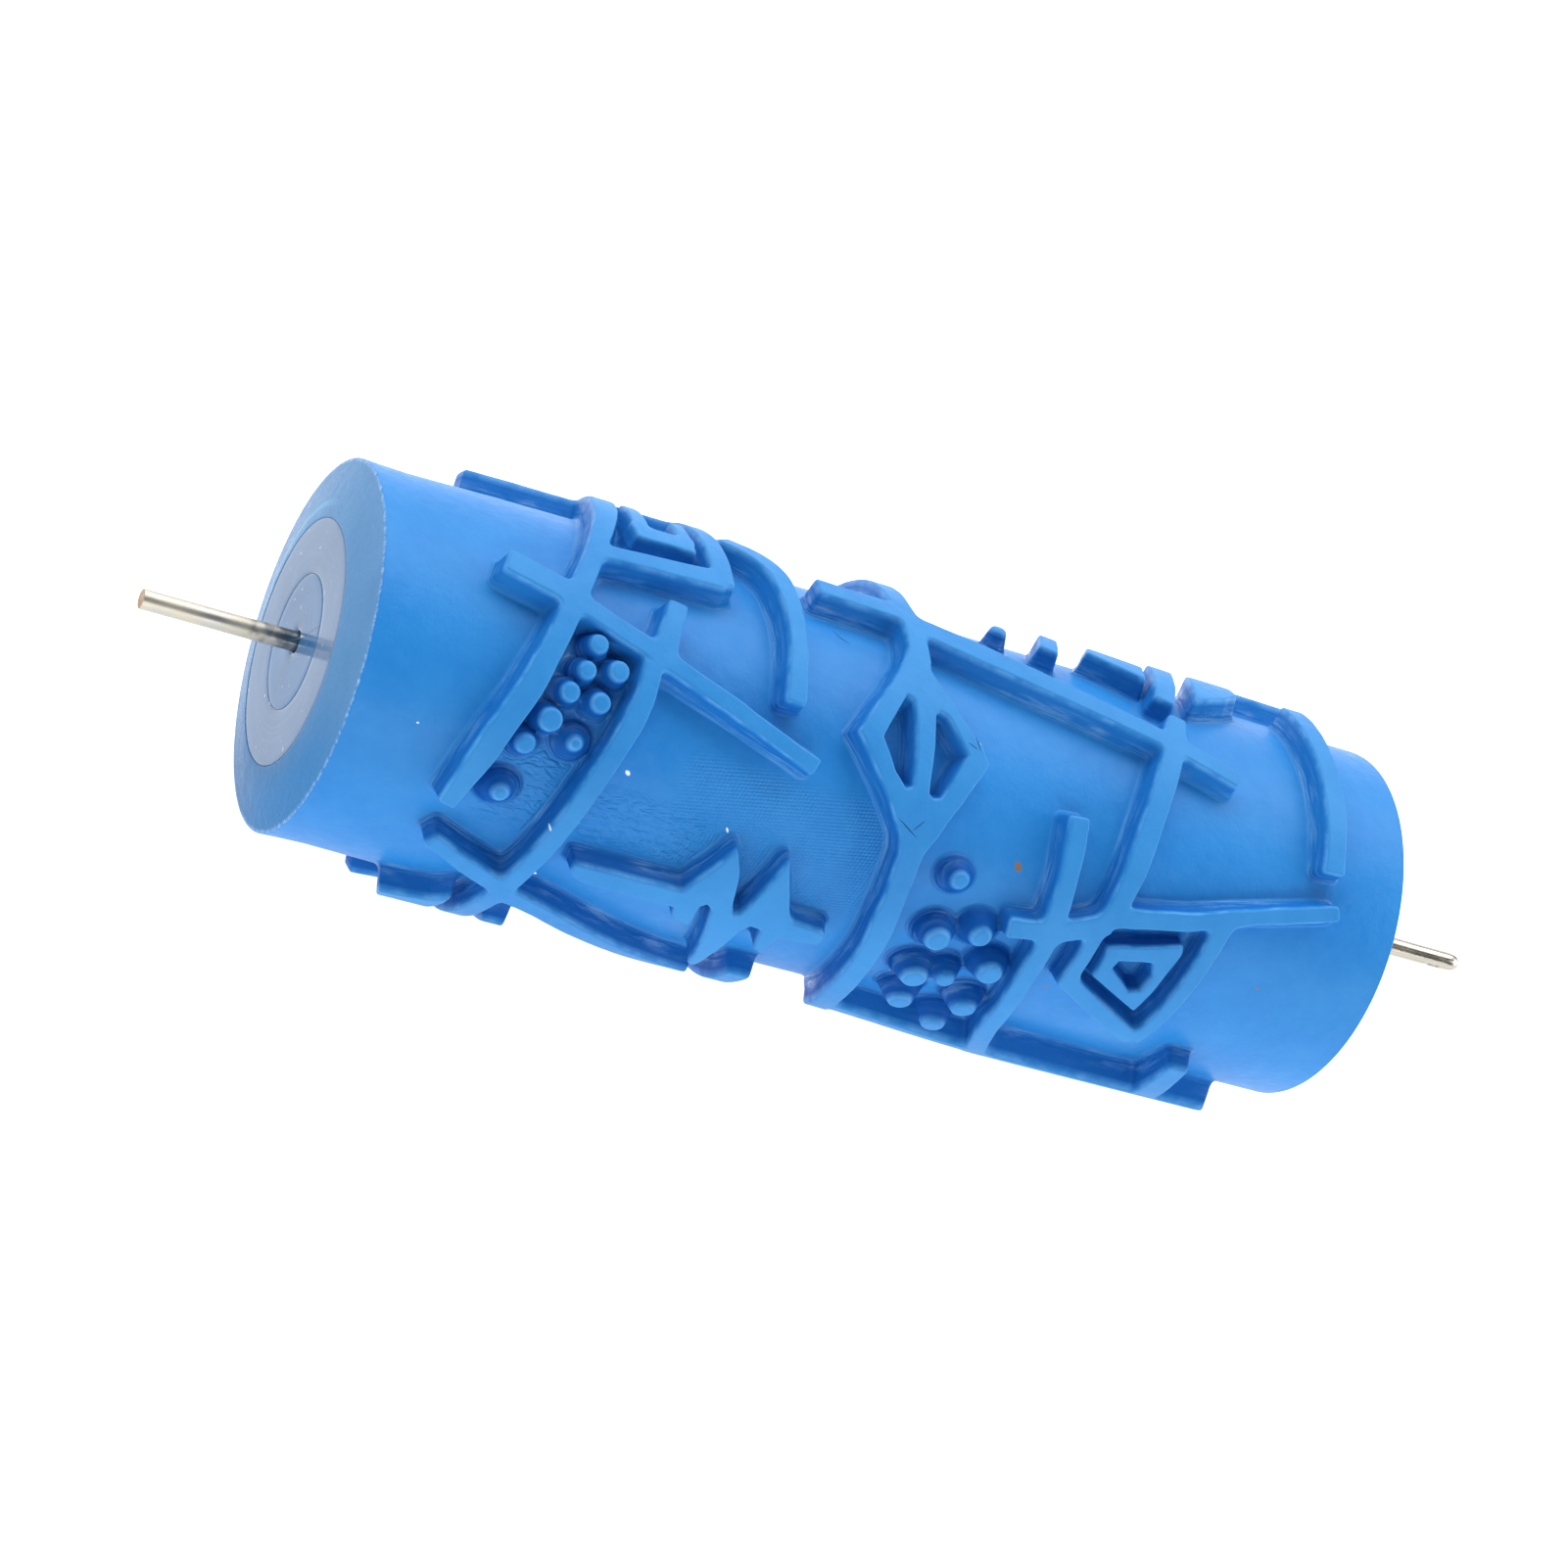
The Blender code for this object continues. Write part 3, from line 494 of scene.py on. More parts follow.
def polygon_distance(outline, x, y):
    """Signed distance to a closed outline over a grid, negative inside."""
    best = np.full((x.size, y.size), 1e9)
    inside = np.zeros(best.shape, bool)
    gx = x[:, None]
    gy = y[None, :]
    for (x0, y0), (x1, y1) in zip(outline, np.roll(outline, -1, axis=0)):
        ex = x1 - x0
        ey = y1 - y0
        length = ex * ex + ey * ey
        if length < 1e-12:
            continue
        t = np.clip(((gx - x0) * ex + (gy - y0) * ey) / length, 0, 1)
        best = np.minimum(best, (gx - x0 - ex * t) ** 2 + (gy - y0 - ey * t) ** 2)
        if y0 != y1:
            crosses = (y0 > gy) != (y1 > gy)
            inside ^= crosses & (gx < ex * (gy - y0) / ey + x0)
    return np.where(inside, -1.0, 1.0) * np.sqrt(best)


def window(grid, low, high):
    return slice(*np.searchsorted(grid, (low, high)))


def soft_min(a, b, reach):
    near = np.maximum(reach - np.abs(a - b), 0) / reach
    return np.minimum(a, b) - near * near * reach / 4


def lattice_noise(x, y, scale, seed):
    """Smooth noise over the grid, from -1 to 1, that joins up round the sleeve."""
    rng = np.random.default_rng(seed)
    around = LAND_R * math.tau
    ny = max(3, round(around / scale))
    nx = int((x[-1] - x[0]) / scale) + 3
    values = rng.uniform(-1, 1, (nx, ny))
    u = (x - x[0]) / scale
    v = (y - y[0]) / around * ny
    iu = u.astype(int)
    iv = v.astype(int)
    fu = (u - iu)[:, None]
    fv = (v - iv)[None, :]
    fu = fu * fu * (3 - 2 * fu)
    fv = fv * fv * (3 - 2 * fv)
    a = values[iu][:, iv % ny]
    b = values[iu + 1][:, iv % ny]
    c = values[iu][:, (iv + 1) % ny]
    d = values[iu + 1][:, (iv + 1) % ny]
    return (a * (1 - fu) + b * fu) * (1 - fv) + (c * (1 - fu) + d * fu) * fv


def window_round(outline, margin, x, y):
    """The part of the grid that holds an outline and a margin round it."""
    low = outline.min(axis=0) - margin
    high = outline.max(axis=0) + margin
    return window(x, low[0], high[0]), window(y, low[1], high[1])


def add_land(out, outline, corner, fillet, x, y):
    where = window_round(outline, FAR + 1, x, y)
    distance = polygon_distance(outline, x[where[0]], y[where[1]]) - corner
    out[where] = soft_min(out[where], distance, fillet)


def cut_pocket(out, outline, x, y):
    where = window_round(outline, FAR + 1.5, x, y)
    distance = polygon_distance(outline, x[where[0]], y[where[1]])
    out[where] = -soft_min(-out[where], distance, POCKET_FILLET)


def add_pin(out, tall, pin, x, y):
    """Adds a cone with a slightly rounded top, and its height to the second field."""
    px, deg, top_r, foot_r, height = pin
    cx, cy = flat(px, deg)
    reach = foot_r + FAR
    where = (window(x, cx - reach, cx + reach), window(y, cy - reach, cy + reach))
    radius = np.hypot(x[where[0]][:, None] - cx, y[where[1]][None, :] - cy)
    inner = (radius - top_r) * PIN_TOP_SLOPE
    side = (radius - top_r) * WALL_FOOT / (foot_r - top_r)
    outer = WALL_FOOT + (radius - foot_r) * PIN_FOOT_SLOPE
    cone = np.where(radius < top_r, inner, np.where(radius < foot_r, side, outer))
    tall[where] = np.where(cone < out[where], height / (LAND_R - BASE_R), tall[where])
    out[where] = soft_min(out[where], cone, PIN_FILLET)


def relief_field(x, y):
    """Distance out from the nearest outline, and the height inside it as a share of the full height."""
    out = np.full((x.size, y.size), FAR)
    tall = np.ones(out.shape)
    for ridge in RIDGES:
        add_land(out, ridge_outline(ridge), CORNER, FILLET, x, y)
    for block in BLOCKS:
        add_land(out, np.array([flat(*corner) for corner in block]), 0.0, BLOCK_FILLET, x, y)
    for pocket in POCKETS:
        cut_pocket(out, np.array([flat(*corner) for corner in pocket]), x, y)
    waver = sum(depth * lattice_noise(x, y, scale, seed) for depth, scale, seed in WAVERS)
    out += waver * np.clip((FAR - out) / FAR, 0, 1)
    for pin in PINS:
        add_pin(out, tall, pin, x, y)
    return np.clip(out, -FAR, FAR), tall


def contours(field, level, x, y):
    """Closed lines at one level of the field, as arrays of points."""
    low = field < level
    across = low[:-1] != low[1:]
    along = low[:, :-1] != low[:, 1:]
    i, j = np.nonzero(across)
    t = (level - field[i, j]) / (field[i + 1, j] - field[i, j])
    first = np.stack([x[i] + t * GRID, y[j]], 1)
    k, m = np.nonzero(along)
    t = (level - field[k, m]) / (field[k, m + 1] - field[k, m])
    points = np.vstack([first, np.stack([x[k], y[m] + t * GRID], 1)])
    across_id = np.full(across.shape, -1)
    across_id[i, j] = np.arange(len(i))
    along_id = np.full(along.shape, -1)
    along_id[k, m] = np.arange(len(k)) + len(i)
    sides = np.stack([across_id[:, :-1], along_id[1:, :], across_id[:, 1:], along_id[:-1, :]], -1)
    count = (sides >= 0).sum(-1)
    pairs = np.sort(sides[count == 2], axis=1)[:, 2:]
    saddles = sides[count == 4]
    links = np.vstack([pairs, saddles[:, [0, 3]], saddles[:, [1, 2]]])
    both = np.vstack([links, links[:, ::-1]])
    both = both[np.argsort(both[:, 0], kind="stable")]
    neighbours = both[:, 1].reshape(-1, 2).tolist()
    seen = [False] * len(points)
    loops = []
    for start in range(len(points)):
        if seen[start]:
            continue
        chain = [start]
        seen[start] = True
        here = neighbours[start][0]
        while not seen[here]:
            chain.append(here)
            seen[here] = True
            a, b = neighbours[here]
            here = a if not seen[a] else b
        loops.append(points[chain])
    return loops


def respaced(loop):
    """The same closed line with points about LONGEST apart, and closer where it turns."""
    closed = np.vstack([loop, loop[:1]])
    steps = np.diff(closed, axis=0)
    lengths = np.hypot(steps[:, 0], steps[:, 1])
    total = lengths.sum()
    if total < SHORTEST_LOOP:
        return None
    even = max(8, int(total / FINEST))
    places = np.concatenate([[0], np.cumsum(lengths)])
    at = np.linspace(0, total, even, endpoint=False)
    line = np.stack([np.interp(at, places, closed[:, c]) for c in (0, 1)], 1)
    heading = np.roll(line, -1, axis=0) - np.roll(line, 1, axis=0)
    angle = np.arctan2(heading[:, 1], heading[:, 0])
    turn = np.abs((np.roll(angle, -1) - angle + math.pi) % math.tau - math.pi)
    gaps = np.hypot(*(np.roll(line, -1, axis=0) - line).T)
    weight = np.concatenate([[0], np.cumsum(gaps / LONGEST + turn / math.radians(TURN_DEG))])
    count = max(6, int(math.ceil(weight[-1])))
    marks = np.linspace(0, weight[-1], count, endpoint=False)
    line = np.vstack([line, line[:1]])
    return np.stack([np.interp(marks, weight, line[:, c]) for c in (0, 1)], 1)


def base_radius(x):
    places, radii = zip(*BASE_STOPS)
    return np.interp(x, places, radii)


def land_radius(x, deg):
    """The lands stand a little higher low on the far half."""
    def rise(value, low, high):
        share = np.clip((value - low) / (high - low), 0, 1)
        return share * share * (3 - 2 * share)

    return LAND_R + LAND_LIFT * rise(x, -5, 40) * rise(deg, 112, 136) * rise(deg, 160, 148)


def sampled(field, x, y, px, py):
    u = np.clip((px - x[0]) / GRID, 0, x.size - 1.001)
    v = np.clip((py - y[0]) / GRID, 0, y.size - 1.001)
    i = u.astype(int)
    j = v.astype(int)
    fu = u - i
    fv = v - j
    return ((field[i, j] * (1 - fu) + field[i + 1, j] * fu) * (1 - fv)
            + (field[i, j + 1] * (1 - fu) + field[i + 1, j + 1] * fu) * fv)


def placed_mesh(name, verts, faces):
    """A smooth object at the roller's place, from vertices in mm round its middle."""
    place = Vector((MID_X, 0, AXIS_Z))
    mesh = bpy.data.meshes.new(name)
    mesh.from_pydata([Vector(v) * MM + place for v in verts], [], faces)
    for polygon in mesh.polygons:
        polygon.use_smooth = True
    obj = bpy.data.objects.new(name, mesh)
    bpy.context.scene.collection.objects.link(obj)
    return obj


def pin_valleys():
    """A point between each two pins whose feet meet, so that no face bridges their tops."""
    valleys = []
    for first, second in itertools.combinations(PINS, 2):
        a = np.array(flat(*first[:2]))
        b = np.array(flat(*second[:2]))
        apart = float(np.hypot(*(b - a)))
        if apart < first[3] + second[3] + 1:
            share = (apart + first[2] - second[2]) / 2 / apart
            valleys.append((a + (b - a) * share).tolist())
    return valleys


def outline_points(out, levels, x, y):
    """Vertices along every contour, the level of each, and the edges that join them."""
    points = []
    exact = []
    edges = []
    for level in levels:
        for loop in contours(out, level, x, y):
            line = respaced(loop)
            if line is None:
                continue
            first = len(points)
            points += line.tolist()
            exact += [level] * len(line)
            edges += [(first + k, first + (k + 1) % len(line)) for k in range(len(line))]
    return points, exact, edges


def open_points(out, levels, x, y, ends, start):
    """Vertices along the borders, over open ground and wide lands, and in the valleys between pins."""
    around = LAND_R * math.tau
    ring = start + around * np.arange(RING_STEPS + 1) / RING_STEPS
    columns = np.linspace(*ends, int((ends[1] - ends[0]) / OPEN_STEP))
    border = [[end, value] for end in ends for value in ring]
    border += [[value, side] for side in (start, start + around) for value in columns[1:-1]]
    rows = start + around * (np.arange(int(around / OPEN_STEP)) + 0.5) / int(around / OPEN_STEP)
    fill = []
    for k, value in enumerate(columns[1:-1]):
        shift = 0.25 * OPEN_STEP * (-1) ** k
        fill += [(value, row + shift) for row in rows]
    fill = np.array(fill)
    level = sampled(out, x, y, fill[:, 0], fill[:, 1])
    fill = fill[(level > levels[-1] + OPEN_CLEAR) | (level < levels[0] - LAND_CLEAR)]
    return border + fill.tolist() + pin_valleys()


def rolled_up(verts, distance, share, field, x, y):
    """Positions and normals round the axle, in mm, of the unrolled vertices."""
    stops = np.array(PROFILE)
    height = np.interp(distance, stops[:, 0], stops[:, 1]) / (LAND_R - BASE_R) * share
    slope = np.interp(distance, stops[:, 0], stops[:, 2]) / (LAND_R - BASE_R) * share
    base = base_radius(verts[:, 0])
    angle = verts[:, 1] / LAND_R
    relief = land_radius(verts[:, 0], np.degrees(angle)) - base
    radius = base + relief * height
    gx, gy = np.gradient(field, GRID)
    nx = -slope * relief * sampled(gx, x, y, verts[:, 0], verts[:, 1])
    ny = -slope * relief * sampled(gy, x, y, verts[:, 0], verts[:, 1]) * LAND_R / radius
    lean = (base_radius(verts[:, 0] + 0.1) - base_radius(verts[:, 0] - 0.1)) / 0.2
    nx = nx - lean * (1 - height)
    position = np.stack([verts[:, 0], -radius * np.sin(angle), radius * np.cos(angle)], 1)
    normal = np.stack([nx, -np.sin(angle) - ny * np.cos(angle), np.cos(angle) - ny * np.sin(angle)], 1)
    normal /= np.linalg.norm(normal, axis=1)[:, None]
    return position.tolist(), normal.tolist()


def end_section(side, end):
    """The rim, the end face and the mouth of the bore on one side, as (distance from the middle, radius)."""
    rim_r = float(base_radius(end)) - RIM_ROUND
    section = [(RIM_X + RIM_ROUND * (math.sin(a) - 1) + side * RIM_SHIFT, rim_r + RIM_ROUND * math.cos(a))
               for a in np.radians([25, 50, 75])]
    for px, pr in END_FACE:
        shifted = min(1.0, max(0.0, (pr - SHIFT_NONE_R) / (SHIFT_FULL_R - SHIFT_NONE_R)))
        section.append((px + side * RIM_SHIFT * shifted, pr))
    return section


def ring_faces(last, fresh, outward):
    """Faces between two rings of vertices."""
    faces = []
    for k in range(len(last)):
        n = (k + 1) % len(last)
        quad = [last[k], last[n], fresh[n], fresh[k]]
        faces.append(quad if outward else quad[::-1])
    return faces


def make_sleeve():
    ends = [side * (RIM_X - RIM_ROUND) + RIM_SHIFT for side in (-1, 1)]
    start = LAND_R * math.radians(SEAM_DEG)
    around = LAND_R * math.tau
    x = np.arange(ends[0] - 1, ends[1] + 1, GRID)
    y = start + np.arange(int(around / GRID) + 2) * GRID
    field, tall = relief_field(x, y)
    levels = [row[0] for row in PROFILE]
    points, exact, edges = outline_points(field, levels, x, y)
    spread = open_points(field, levels, x, y, ends, start)
    points += spread
    exact += [None] * len(spread)
    made = delaunay_2d_cdt([Vector(p) for p in points], edges, [], 0, 1e-5)
    verts = np.array([tuple(v) for v in made[0]])
    faces = [list(f)[::-1] for f in made[2]]

    # a vertex on a contour has its level exactly, and any other takes the field's value
    known = [next((exact[k] for k in source if exact[k] is not None), np.nan) for source in made[3]]
    known = np.array(known, float)
    distance = np.where(np.isnan(known), sampled(field, x, y, verts[:, 0], verts[:, 1]), known)
    share = sampled(tall, x, y, verts[:, 0], verts[:, 1])
    position, normal = rolled_up(verts, distance, share, field, x, y)
    outline = np.clip(distance, levels[0], levels[-1]).tolist()
    pin = np.where(share < 0.999, 1.0, 0.0).tolist()

    # one side of the seam takes the other side's vertices
    on_end = np.abs(verts[:, 1] - (start + around)) < 1e-4
    on_start = {round(v, 3): k for k, v in enumerate(verts[:, 0]) if abs(verts[k, 1] - start) < 1e-4}
    renamed = np.arange(len(verts))
    for k in np.nonzero(on_end)[0]:
        renamed[k] = on_start[round(verts[k, 0], 3)]
    faces = [[int(renamed[k]) for k in f] for f in faces]

    # the rims, the end faces and the bore, ring by ring
    mouths = []
    for side, end in zip((-1, 1), ends):
        rim = [k for k in np.nonzero(np.abs(verts[:, 0] - end) < 1e-4)[0] if not on_end[k]]
        rim.sort(key=lambda k: verts[k, 1])
        turns = [verts[k, 1] / LAND_R for k in rim]
        last = [int(k) for k in rim]
        for sx, sr in end_section(side, end):
            fresh = list(range(len(position), len(position) + len(last)))
            position += [[side * sx, -sr * math.sin(a), sr * math.cos(a)] for a in turns]
            normal += [[0.0, 0.0, 0.0]] * len(last)
            outline += [levels[-1]] * len(last)
            pin += [0.0] * len(last)
            faces += ring_faces(last, fresh, side > 0)
            last = fresh
        mouths.append(last)
    faces += ring_faces(mouths[1], mouths[0], True)

    used = sorted({k for f in faces for k in f})
    new_id = {k: i for i, k in enumerate(used)}
    faces = [[new_id[k] for k in f] for f in faces]
    obj = placed_mesh("pattern_sleeve", [position[k] for k in used], faces)
    for label, values in (("outline", outline), ("pin", pin)):
        attribute = obj.data.attributes.new(label, "FLOAT", "POINT")
        attribute.data.foreach_set("value", [values[k] for k in used])
    obj.data.validate()
    obj.data.normals_split_custom_set_from_vertices([normal[k] for k in used])
    return obj


# ---------------------------------------------------------------- materials

def around_axle(n):
    """The place in metres, then the position along the axle, the arc at ARC_R and the radius, in mm."""
    place = n.add("ShaderNodeTexCoord").outputs["Object"]
    x, y, z = n.add("ShaderNodeSeparateXYZ", {0: place}).outputs
    height = n.math("SUBTRACT", z, AXIS_Z)
    along = n.product(n.math("SUBTRACT", x, MID_X), TO_MM)
    arc = n.product(n.math("ARCTAN2", n.product(y, -1.0), height), ARC_R)
    squares = n.math("ADD", n.product(y, y), n.product(height, height))
    radius = n.product(n.math("SQRT", squares), TO_MM)
    return place, along, arc, radius


def ellipse(n, vector, location, turn, half_length, half_width):
    """1 on an elongated mark, falling to 0 over its edge."""
    mapping = n.add("ShaderNodeMapping", {
        "Vector": vector, "Location": (*location, 0), "Rotation": (0, 0, turn),
        "Scale": (half_length, half_width, 1)}, vector_type="TEXTURE")
    length = n.add("ShaderNodeVectorMath", {0: mapping.outputs[0]}, operation="LENGTH")
    return n.span(length.outputs["Value"], 1.1, 0.7)


def marks(n, along, arc, entries):
    """1 on the marks, each of them (position, angle, half length, half width, turn in degrees)."""
    unrolled = n.vector(along, arc)
    covered = 0.0
    for px, deg, half_length, half_width, turn in entries:
        location = (px, ARC_R * math.radians(deg))
        mark = ellipse(n, unrolled, location, math.radians(turn), half_length, half_width)
        covered = n.math("ADD", mark, covered, clamp=True)
    return covered


def region(n, along, arc, x_low, x_high, deg_low, deg_high):
    """1 inside a stretch of the sleeve, with soft edges."""
    low = ARC_R * math.radians(deg_low)
    high = ARC_R * math.radians(deg_high)
    return n.product(n.band(along, x_low, x_high, 4.0), n.band(arc, low, high, 3.0))


def rubber_blue_with_painted_shade(n, place, arc, outline, wall, cloudy):
    """The blue of the ground and the lands, with painted shade on the walls and round the pins."""
    land = n.span(outline, 0.08, -0.10)
    mottle = n.span(n.noise(place, 420.0, 3.0, 0.6), 0.4, 0.7)
    ground = n.mix(cloudy, (0.013, 0.178, 0.515), (0.020, 0.205, 0.555))
    top = n.mix(cloudy, (0.017, 0.186, 0.500), (0.026, 0.216, 0.540))
    color = n.mix(land, ground, top)
    color = n.mix(n.product(mottle, 0.12), color, (0.05, 0.28, 0.62))
    # painted shade on the walls, heavier with the angle away from the top of the roller
    painted_wall_shade = n.span(n.math("ABSOLUTE", arc), 14.0, 46.0, 0.30, 0.64)
    color = n.mix(n.product(wall, painted_wall_shade), color, (0.002, 0.054, 0.295))
    # painted shade on the flanks of the pins
    color = n.mix(n.product(n.attribute("pin"), wall, 0.5), color, (0.001, 0.045, 0.260))
    return color, land


def end_face_painted_light(n, arc, radius, cloudy):
    """The cut end face in painted light: a grey painted reflection on top, painted shade lower down, a bluer
    part where the painted reflection stops, and a pale painted reflection streak by the plug.
    """
    face = n.mix(cloudy, (0.080, 0.205, 0.400), (0.095, 0.230, 0.430))
    below = n.span(n.math("ABSOLUTE", arc), 30.0, 85.0)
    face = n.mix(n.product(below, 0.9), face, (0.030, 0.130, 0.300))
    bluer = n.product(n.band(arc, 52.0, 76.0, 18.0), n.span(radius, 18.8, 23.0))
    face = n.mix(n.product(bluer, 0.85), face, (0.032, 0.168, 0.400))
    pale = n.product(n.band(arc, -62.0, -25.0, 10.0), n.band(radius, 20.4, 21.0, 0.35))
    return n.mix(n.product(pale, 0.7), face, (0.11, 0.36, 0.54))


def ragged_rim(n, arc, side):
    """A thin broken line along each trimmed rim."""
    ragged = n.noise(n.vector(n.product(arc, 0.8), n.product(side, 1.5)), 1.0, 6.0, 0.8)
    return n.product(n.band(side, RIM_X - 0.08, RIM_X + 0.01, 0.07), n.span(ragged, 0.47, 0.62))


def rubber_height(n, place, along, arc, open_base):
    """Fine grain, leathery ripples and a cloth-like weave, as a height in metres."""
    stretched = n.vector(n.product(along, 0.5), n.product(arc, 1.1))
    ripple = n.noise(stretched, 1.0, 1.0, 0.4, 1.2)
    by_crown = region(n, along, arc, -48, -30, 78, 90)
    by_pins = region(n, along, arc, -61, -54, 60, 92)
    leather = n.math("ADD", by_crown, by_pins, clamp=True)
    warp = n.product(n.noise(place, 130.0, 2.0), 9.0)
    rising = n.math("ADD", n.product(n.math("ADD", along, arc), 6.6), warp)
    falling = n.math("ADD", n.product(n.math("SUBTRACT", along, arc), 4.4), warp)
    weave = n.product(n.math("SINE", rising), n.math("SINE", falling))
    woven = region(n, along, arc, -33, -3, 60, 93)
    grain = n.noise(place, 2600.0, 3.0, 0.55)
    return n.total(
        n.product(grain, 0.00002), n.product(ripple, leather, open_base, 0.00042),
        n.product(weave, woven, open_base, 0.000050))


def rubber():
    n = Nodes("sleeve_rubber")
    place, along, arc, radius = around_axle(n)
    outline = n.attribute("outline")
    wall = n.product(n.span(outline, 0.0, 0.14), n.span(outline, 1.3, 0.4))
    side = n.math("ABSOLUTE", n.math("SUBTRACT", along, RIM_SHIFT))
    end = n.span(side, RIM_X - 0.05, RIM_X + 0.05)
    cloudy = n.span(n.noise(place, 60.0, 4.0, 0.6), 0.35, 0.65)
    color, land = rubber_blue_with_painted_shade(n, place, arc, outline, wall, cloudy)

    # glossy streaks along the foot of the walls; the pale colour mixed in along them is a painted highlight
    lanes = n.vector(n.product(outline, 7.0), n.product(along, 0.16), n.product(arc, 0.16))
    streaks = n.noise(lanes, 1.0, 3.0, 0.6, 0.2)
    patch = n.span(n.noise(place, 110.0, 2.0), 0.38, 0.56)
    foot = n.product(n.span(outline, 0.16, 0.40), n.span(outline, 1.2, 0.8))
    gloss_streak_and_painted_highlight = n.product(n.span(streaks, 0.46, 0.66), patch, foot)
    color = n.mix(n.product(gloss_streak_and_painted_highlight, 0.36), color, (0.16, 0.42, 0.72))

    # lighter patches along the edges of the lands; then the end faces, with their painted reflection and
    # shade, and their trimmed rims
    edge = n.product(n.span(outline, -0.22, -0.06), n.span(outline, 0.12, 0.0))
    lightened = n.product(edge, n.span(n.noise(place, 300.0, 3.0), 0.40, 0.60))
    color = n.mix(n.product(lightened, 0.50), color, (0.12, 0.38, 0.74))
    color = n.mix(end, color, end_face_painted_light(n, arc, radius, cloudy))
    color = n.mix(n.product(ragged_rim(n, arc, side), 0.65), color, (0.42, 0.60, 0.80))

    # stray flecks with painted glints among them, specks and hairline cracks
    color = n.mix(marks(n, along, arc, WHITE_FLECKS_AND_GLINTS), color, (0.75, 0.82, 0.90))
    color = n.mix(marks(n, along, arc, BROWN_SPECKS), color, (0.22, 0.14, 0.08))
    color = n.mix(marks(n, along, arc, HAIRLINES), color, (0.004, 0.040, 0.160))
    n.set(n.shader.inputs["Base Color"], color)

    pebble = n.noise(place, 520.0, 4.0, 0.6)
    rough = n.math("ADD", n.span(land, 0.0, 1.0, 0.42, 0.50), n.span(pebble, 0.3, 0.7, -0.05, 0.05))
    rough = n.math("SUBTRACT", rough, n.product(gloss_streak_and_painted_highlight, 0.24))
    n.set(n.shader.inputs["Roughness"], n.math("SUBTRACT", rough, n.product(end, 0.14)))
    level = n.math("ADD", n.product(gloss_streak_and_painted_highlight, 0.35), n.span(wall, 0.0, 1.0, 0.2, 0.04))
    n.set(n.shader.inputs["Specular IOR Level"], n.math("SUBTRACT", level, n.product(end, 0.18)))

    open_base = n.product(n.span(outline, 1.0, 1.4), n.span(end, 1.0, 0.0))
    height = rubber_height(n, place, along, arc, open_base)
    height = n.total(height, n.product(pebble, 0.00010), n.product(streaks, foot, 0.00016))
    n.set(n.shader.inputs["Normal"], n.bump(height))
    return n.material


def plastic(name, dark, light, gloss, scratches=()):
    """Hard glossy plastic with faint turning marks round the axle."""
    n = Nodes(name)
    place, _, arc, radius = around_axle(n)
    cloudy = n.span(n.noise(place, 95.0, 4.0, 0.6), 0.3, 0.7)
    turned = n.noise(n.vector(radius, n.product(arc, 0.01)), 2.4, 3.0, 0.7)
    color = n.mix(cloudy, dark, light)
    color = n.mix(n.span(turned, 0.45, 0.75, 0.0, 0.25), color, tuple(min(1.0, c * 1.5) for c in light))
    speck = n.span(n.noise(place, 700.0, 2.0), 0.70, 0.74)
    color = n.mix(n.product(speck, 0.6), color, (0.45, 0.55, 0.66))
    for start, end, tone in scratches:
        color = n.mix(scratch(n, place, start, end), color, tone)
    n.set(n.shader.inputs["Base Color"], color)
    n.shader.inputs["Specular IOR Level"].default_value = gloss
    n.set(n.shader.inputs["Roughness"], n.span(cloudy, 0.0, 1.0, 0.06, 0.14))
    waves = n.noise(place, 160.0, 2.0)
    n.set(n.shader.inputs["Normal"], n.bump(n.total(n.product(turned, 0.000006), n.product(waves, 0.00002))))
    return n.material


def scratch(n, place, start, end):
    """A thin straight mark on an end face between two points given in mm from the axle, as (y, z)."""
    y0, z0 = start
    y1, z1 = end
    middle = ((y0 + y1) / 2 * MM, (z0 + z1) / 2 * MM + AXIS_Z)
    half = math.hypot(y1 - y0, z1 - z0) / 2 * MM
    _, y, z = n.add("ShaderNodeSeparateXYZ", {0: place}).outputs
    return ellipse(n, n.vector(y, z), middle, math.atan2(z1 - z0, y1 - y0), half, SCRATCH_HALF_WIDTH)


